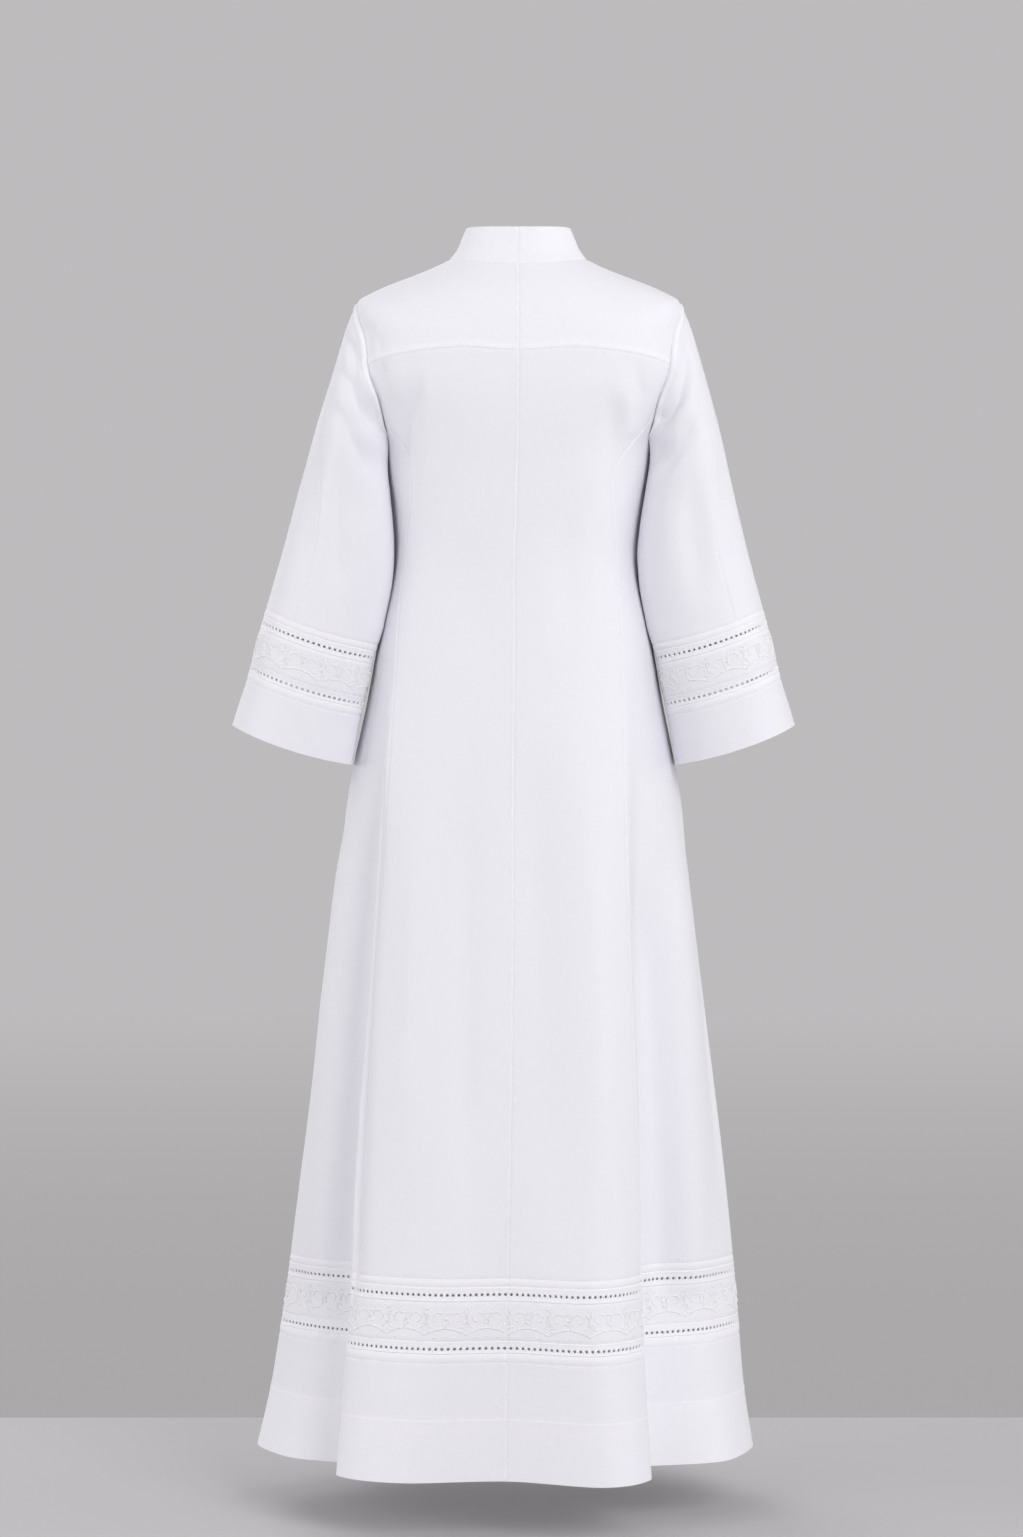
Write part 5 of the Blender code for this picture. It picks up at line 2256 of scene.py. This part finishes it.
@dataclass
class Robe:
    """The whole robe: its form, its pieces and their finishes."""

    body: BodyForm = BodyForm()
    collar: CollarForm = CollarForm()
    sleeve: SleeveForm = SleeveForm()
    layout: Openwork = Openwork()
    motif: VineMotif = VineMotif()
    hem_stitch: HemStitch = HemStitch()
    # The last number of each roll paints its raised strip paler, a painted highlight along the
    # pressed seam.
    yoke_roll: SeamRoll = SeamRoll(0.0095, 0.0005, 0.0026, 0.8)
    head_roll: SeamRoll = SeamRoll(0.0085, 0.0016, 0.0030)
    princess_roll: SeamRoll = SeamRoll(0.0034, 0.0003, 0.0012, 0.45)
    back_roll: SeamRoll = SeamRoll(0.0028, 0.0006, 0.0010, 0.8)
    yoke_double: float = 0.4
    collar_double: float = 0.6
    head_back: float = 12.0
    head_front: float = 8.0
    triangles: int = 0

    def build(self) -> None:
        """Make and dress every piece."""
        lattices = self.form()
        self.panels = PanelMaker(lattices, {
            "body_left": BODY_FOLDS,
            "body_right": BODY_FOLDS,
            "sleeve_left": LEFT_SLEEVE_FOLDS,
            "sleeve_right": RIGHT_SLEEVE_FOLDS,
            "collar": (),
        })
        self.bands = BandMaker(self.panels, self.layout)
        self.layer = StitchLayer(self.panels, THREAD.material())
        self.robe_cloth = ROBE_CLOTH.material()
        self.band_cloth = BAND_CLOTH.material()
        for side in ("left", "right"):
            self.mark_seams(side)
        self.mark_centre_back()
        for side in ("left", "right"):
            for cut in self.plain_cuts(side):
                self.dress_panel(cut)
            for cut in self.band_cuts(side):
                self.dress_band(cut)
        LOG.info("robe: %d triangles", self.triangles)

    def form(self) -> dict[str, Lattice]:
        """The smooth form of every stretch of cloth."""
        halves = self.body.halves()
        net = ControlNet()
        net.add("body_left", halves[1], False)
        net.add("body_right", halves[-1], True)
        net.add("collar", self.collar.grid(halves), False)
        net.add("sleeve_left", self.sleeve.grid(1, halves), True)
        net.add("sleeve_right", self.sleeve.grid(-1, halves), False)
        neckline = [halves[side][0, column] for side, column in self.collar.columns()]
        net.crease(neckline + neckline[:1])
        for side in (1, -1):
            armhole = [halves[side][row, column] for row, column, _ in self.sleeve.loop()]
            net.crease(armhole + armhole[:1])
        return net.lattices()

    def mark_seams(self, side: str) -> None:
        """Find one side's armhole and its seams that have a roll beside them.

        Args:
            side: the side's name.
        """
        panels = self.panels
        body = f"body_{side}"
        sleeve = f"sleeve_{side}"
        last = len(self.sleeve.loop())
        columns = np.linspace(0.0, PRINCESS_COLUMN, YOKE_POINTS)
        yoke = panels.line(body, YOKE_ROWS, columns, (0, YOKE_ROWS, 0, PRINCESS_COLUMN))
        around = np.linspace(0.0, last, ARMHOLE_POINTS)
        armhole = panels.line(sleeve, 0, around, (0, SLEEVE_END, 0, last))
        rows = np.linspace(UPPER, BAND_TOP_ROW, PRINCESS_POINTS)
        block = (UPPER, BAND_TOP_ROW, PRINCESS_COLUMN, SIDE_COLUMN)
        princess = panels.line(body, rows, PRINCESS_COLUMN, block)
        panels.pinches[body] = panels.pinches[sleeve] = LineDistance.along(armhole)
        for name, line, roll in (
            ("yoke", yoke, self.yoke_roll),
            ("sleeve_back", armhole[around < self.head_back], self.head_roll),
            ("sleeve_front", armhole[around > last - self.head_front], self.head_roll),
            ("side_back", princess, self.princess_roll),
        ):
            panels.rolls[f"{name}_{side}"] = [(LineDistance.along(line), roll)]
        panels.pressed[f"hem_{side}"] = HEM_STITCH_ROW
        panels.double[f"yoke_{side}"] = self.yoke_double
        panels.double[f"collar_{side}"] = self.collar_double

    def mark_centre_back(self) -> None:
        """Press the centre back seam to the wearer's left, all the way down."""
        rows = np.linspace(0.0, HEM_ROW, BACK_POINTS)
        line = self.panels.line("body_left", rows, 0, (0, HEM_ROW, 0, PRINCESS_COLUMN))
        roll = (LineDistance.along(line), self.back_roll)
        for name in ("yoke_left", "back_left", "skirt_band_left", "hem_left"):
            self.panels.rolls.setdefault(name, []).append(roll)

    def plain_cuts(self, side: str) -> list[Cut]:
        """The plain pieces of one side.

        Args:
            side: the side's name.

        Returns:
            Their cuts.
        """
        body = f"body_{side}"
        sleeve = f"sleeve_{side}"
        half = len(self.collar.columns()) // 2
        start = 0 if side == "left" else half
        last = len(self.sleeve.loop())
        under = UNDER_COLUMN
        hung = {"down_from": UPPER + 1}
        arm = {"row_step": 0.0625, "column_step": 0.25}
        return [
            Cut(f"collar_{side}", "collar", [(0, self.collar.rows, start, start + half)],
                (0.215, 0.050), free_row=0, held="stretched"),
            Cut(f"yoke_{side}", body, [(0, YOKE_ROWS, 0, PRINCESS_COLUMN)],
                (0.205, 0.170), fill=0.80, row_step=0.125, held="laid", **hung),
            Cut(f"back_{side}", body, [(YOKE_ROWS, BAND_TOP_ROW, 0, PRINCESS_COLUMN)],
                (0.190, 1.060), fill=0.85, **hung),
            Cut(f"side_back_{side}", body, [(UPPER, BAND_TOP_ROW, PRINCESS_COLUMN, SIDE_COLUMN)],
                (0.230, 0.990), fill=0.58, **hung),
            Cut(f"front_{side}", body,
                [(0, UPPER, EDGE_COLUMN, HALF), (UPPER, BAND_TOP_ROW, SIDE_COLUMN, HALF)],
                (0.345, 1.170), fill=0.75, grain=HALF, **hung),
            Cut(f"hem_{side}", body, [(BAND_BOTTOM_ROW, HEM_ROW, 0, HALF)],
                (1.000, 0.135), fill=0.85, row_step=0.125, free_row=HEM_ROW,
                down_from=BAND_BOTTOM_ROW),
            Cut(f"sleeve_back_{side}", sleeve, [(0, SLEEVE_BAND_TOP, 0, under)],
                (0.160, 0.400), fill=0.68, **arm),
            Cut(f"sleeve_front_{side}", sleeve, [(0, SLEEVE_BAND_TOP, under, last)],
                (0.260, 0.400), fill=0.76, **arm),
            Cut(f"cuff_{side}", sleeve, [(SLEEVE_BAND_BOTTOM, SLEEVE_END, 0, last)],
                (0.470, 0.060), free_row=SLEEVE_END, down_from=SLEEVE_BAND_BOTTOM),
        ]

    def band_cuts(self, side: str) -> list[Cut]:
        """The bands of one side.

        Args:
            side: the side's name.

        Returns:
            Their cuts.
        """
        last = len(self.sleeve.loop())
        skirt = [(BAND_TOP_ROW, BAND_BOTTOM_ROW, 0, HALF)]
        arm = [(SLEEVE_BAND_TOP, SLEEVE_BAND_BOTTOM, 0, last)]
        return [
            Cut(f"skirt_band_{side}", f"body_{side}", skirt, (0.860, 0.091), down_from=BAND_TOP_ROW),
            Cut(f"sleeve_band_{side}", f"sleeve_{side}", arm, (0.445, 0.084),
                down_from=SLEEVE_BAND_TOP),
        ]

    def finish(self, cut: Cut, obj: Object, pieces: list) -> None:
        """Hand a piece over with what is sewn on it, and report it.

        Args:
            cut: what it was cut to, and the node that it stands for.
            obj: the piece.
            pieces: its stitches.
        """
        for piece in pieces:
            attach(piece, "root")
        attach(obj, "root")
        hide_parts(cut.name)
        width, length = cut.flat
        full = cut.fill * width * length
        area = None if cut.fill == 1.0 else full
        half = sum(face.area for face in obj.data.polygons) / 2
        LOG.info("%s: %.4f m2, %.2f of the cut", obj.name, half, half / full)
        for piece in (obj, *pieces):
            count = sum(len(face.vertices) - 2 for face in piece.data.polygons)
            LOG.info("%s: %d triangles", piece.name, count)
            self.triangles += count

    def dress_panel(self, cut: Cut) -> None:
        """Make a plain piece, and the hem's stitches where it has them.

        Args:
            cut: its cut.
        """
        is_hem = cut.name.startswith("hem")
        extra = tuple(HEM_STITCH_ROW + step for step in HEM_STEPS) if is_hem else ()
        shell = self.panels.grid_shell(cut, extra)
        obj = self.panels.make(cut, shell)
        obj.data.materials.append(self.robe_cloth)
        self.finish(cut, obj, [self.hem_stitches(cut)] if is_hem else [])

    def hem_stitches(self, cut: Cut) -> Object:
        """The line of stitches that holds the turned-up hem.

        Args:
            cut: the hem's cut.

        Returns:
            The stitches.
        """
        stitch = self.hem_stitch
        lengths = self.panels.lattices[cut.stretch].measure(1, 0)[HEM_STITCH_ROW * FINE]
        count = int(lengths[-1] / stitch.pitch)
        along = (np.arange(count) + 0.5) * stitch.pitch
        columns = np.interp(along, lengths, np.arange(len(lengths)) / FINE)
        rows = np.full(count, HEM_STITCH_ROW - stitch.rows_above)
        sizes = np.tile(stitch.size, (count, 1))
        stitches = self.layer.lay(cut, rows, columns, np.zeros(count), sizes, stitch.lift)
        return self.layer.make(f"{cut.name}_stitches", [stitches], stitch.settings)

    def dress_band(self, cut: Cut) -> None:
        """Make an openwork band with its embroidery."""
        obj = self.panels.make(cut, self.bands.shell(cut))
        obj.data.materials.append(self.band_cloth)
        self.finish(cut, obj, [self.embroidery(cut)])

    def embroidery(self, cut: Cut) -> Object:
        """The vine and flowers of a band, and the wrapped bars between its holes.

        Args:
            cut: the band's cut.

        Returns:
            The embroidery.
        """
        motif = self.motif
        total = self.bands.column_scale(cut)[2]
        repeats = int(round(total / motif.length))
        stretch = total / (repeats * motif.length)
        one = np.array(motif.stitches())
        tiled = np.concatenate([one + (k * motif.length, 0.0, 0.0, 0.0) for k in range(repeats)])
        tiled[:, 0] = np.mod(tiled[:, 0] * stretch, total)
        rows, columns = self.bands.place(cut, tiled[:, 0], tiled[:, 1])
        sizes = np.tile((motif.stitch, motif.thread, motif.height), (len(tiled), 1))
        sizes[:, 0] *= tiled[:, 3]
        groups = [self.layer.lay(cut, rows, columns, tiled[:, 2], sizes, motif.lift)]
        holes = self.bands.holes_along(cut)
        bars = np.arange(1, holes) * (total / holes)
        upright = np.full(len(bars), 0.5 * math.pi)
        sizes = np.tile(self.layout.bar_size, (len(bars), 1))
        for strip in self.layout.strips:
            rows, columns = self.bands.place(cut, bars, np.full(len(bars), 0.5 * sum(strip)))
            groups.append(self.layer.lay(cut, rows, columns, upright, sizes, self.layout.bar_lift))
        return self.layer.make(f"{cut.name}_embroidery", groups, motif.settings)


@dataclass
class Studio:
    """The camera, the lights, the pale floor and the plain grey behind.

    A light has a name, a place, a width in metres and a power in watts.
    """

    camera_place: Triple = (0.004, 4.48, -0.581)
    lens: float = 90.0
    sensor: float = 36.0
    floor_z: float = -1.433
    floor_back_y: float = -0.564
    floor_end: float = 30.0
    backdrop: Triple = (0.510, 0.497, 0.507)
    low_backdrop: Triple = (0.405, 0.395, 0.400)
    backdrop_reach: float = 9.0
    light_aim: Triple = (0.0, 0.0, -0.65)
    lights: tuple[tuple[str, Triple, float, float], ...] = (
        ("key", (-2.0, 3.8, 1.5), 2.2, 90.0),
        ("fill", (2.4, 3.4, 0.4), 2.2, 14.0),
        ("left", (4.0, 0.8, 0.2), 2.4, 43.0),
        ("right", (-4.0, 0.4, 0.4), 2.2, 30.0),
        ("front", (1.6, -3.4, 1.2), 2.6, 50.0),
    )

    def build(self) -> None:
        """Make all of it."""
        self.camera()
        self.floor()
        self.world()
        for light in self.lights:
            self.light(*light)
        scene = bpy.context.scene
        scene.view_settings.view_transform = "Standard"
        scene.view_settings.look = "None"

    def camera(self) -> None:
        """The camera at the photograph's angle."""
        data = bpy.data.cameras.new("camera")
        data.lens = self.lens
        data.sensor_width = self.sensor
        camera = linked("camera", data)
        camera.location = self.camera_place
        camera.rotation_euler = Euler((0.5 * math.pi, 0.0, math.pi))
        bpy.context.scene.camera = camera

    def floor(self) -> None:
        """A plain pale floor, and the grey that takes over beyond its edge."""
        edge = self.floor_back_y
        near, far, reach = self.low_backdrop, self.backdrop, self.backdrop_reach
        grey = BackdropFinish("backdrop_grey", near, far, edge, reach)
        self.plate("floor", edge, self.floor_end, FLOOR.material())
        self.plate("backdrop", -self.floor_end, edge, grey.material())

    def plate(self, name: str, low_y: float, high_y: float, material: bpy.types.Material) -> None:
        """A level rectangle at the floor's height.

        Args:
            name: its name.
            low_y: the y at which it starts.
            high_y: the y at which it ends.
            material: its finish.
        """
        mesh = bpy.data.meshes.new(name)
        end = self.floor_end
        corners = [(-end, low_y), (end, low_y), (end, high_y), (-end, high_y)]
        mesh.from_pydata([(x, y, self.floor_z) for x, y in corners], [], [(0, 1, 2, 3)])
        mesh.materials.append(material)
        plate = linked(name, mesh)

    def world(self) -> None:
        """Even grey all round."""
        world = bpy.data.worlds.new("studio")
        world.use_nodes = True
        world.node_tree.nodes["Background"].inputs["Color"].default_value = (*self.backdrop, 1.0)
        bpy.context.scene.world = world

    def light(self, name: str, place: Triple, size: float, power: float) -> None:
        """A soft square light aimed at the robe's middle.

        Args:
            name: its name.
            place: where it stands.
            size: its width in metres.
            power: its power in watts.
        """
        data = bpy.data.lights.new(name, "AREA")
        data.size = size
        data.energy = power
        light = linked(name, data)
        light.location = place
        aim = Vector(self.light_aim) - Vector(place)
        light.rotation_euler = aim.to_track_quat("-Z", "Y").to_euler()


def main() -> None:
    """Build the robe and the studio."""
    logging.basicConfig(level=logging.INFO, format="%(name)s: %(message)s")
    Studio().build()
    Robe().build()


if __name__ == "__main__":
    main()
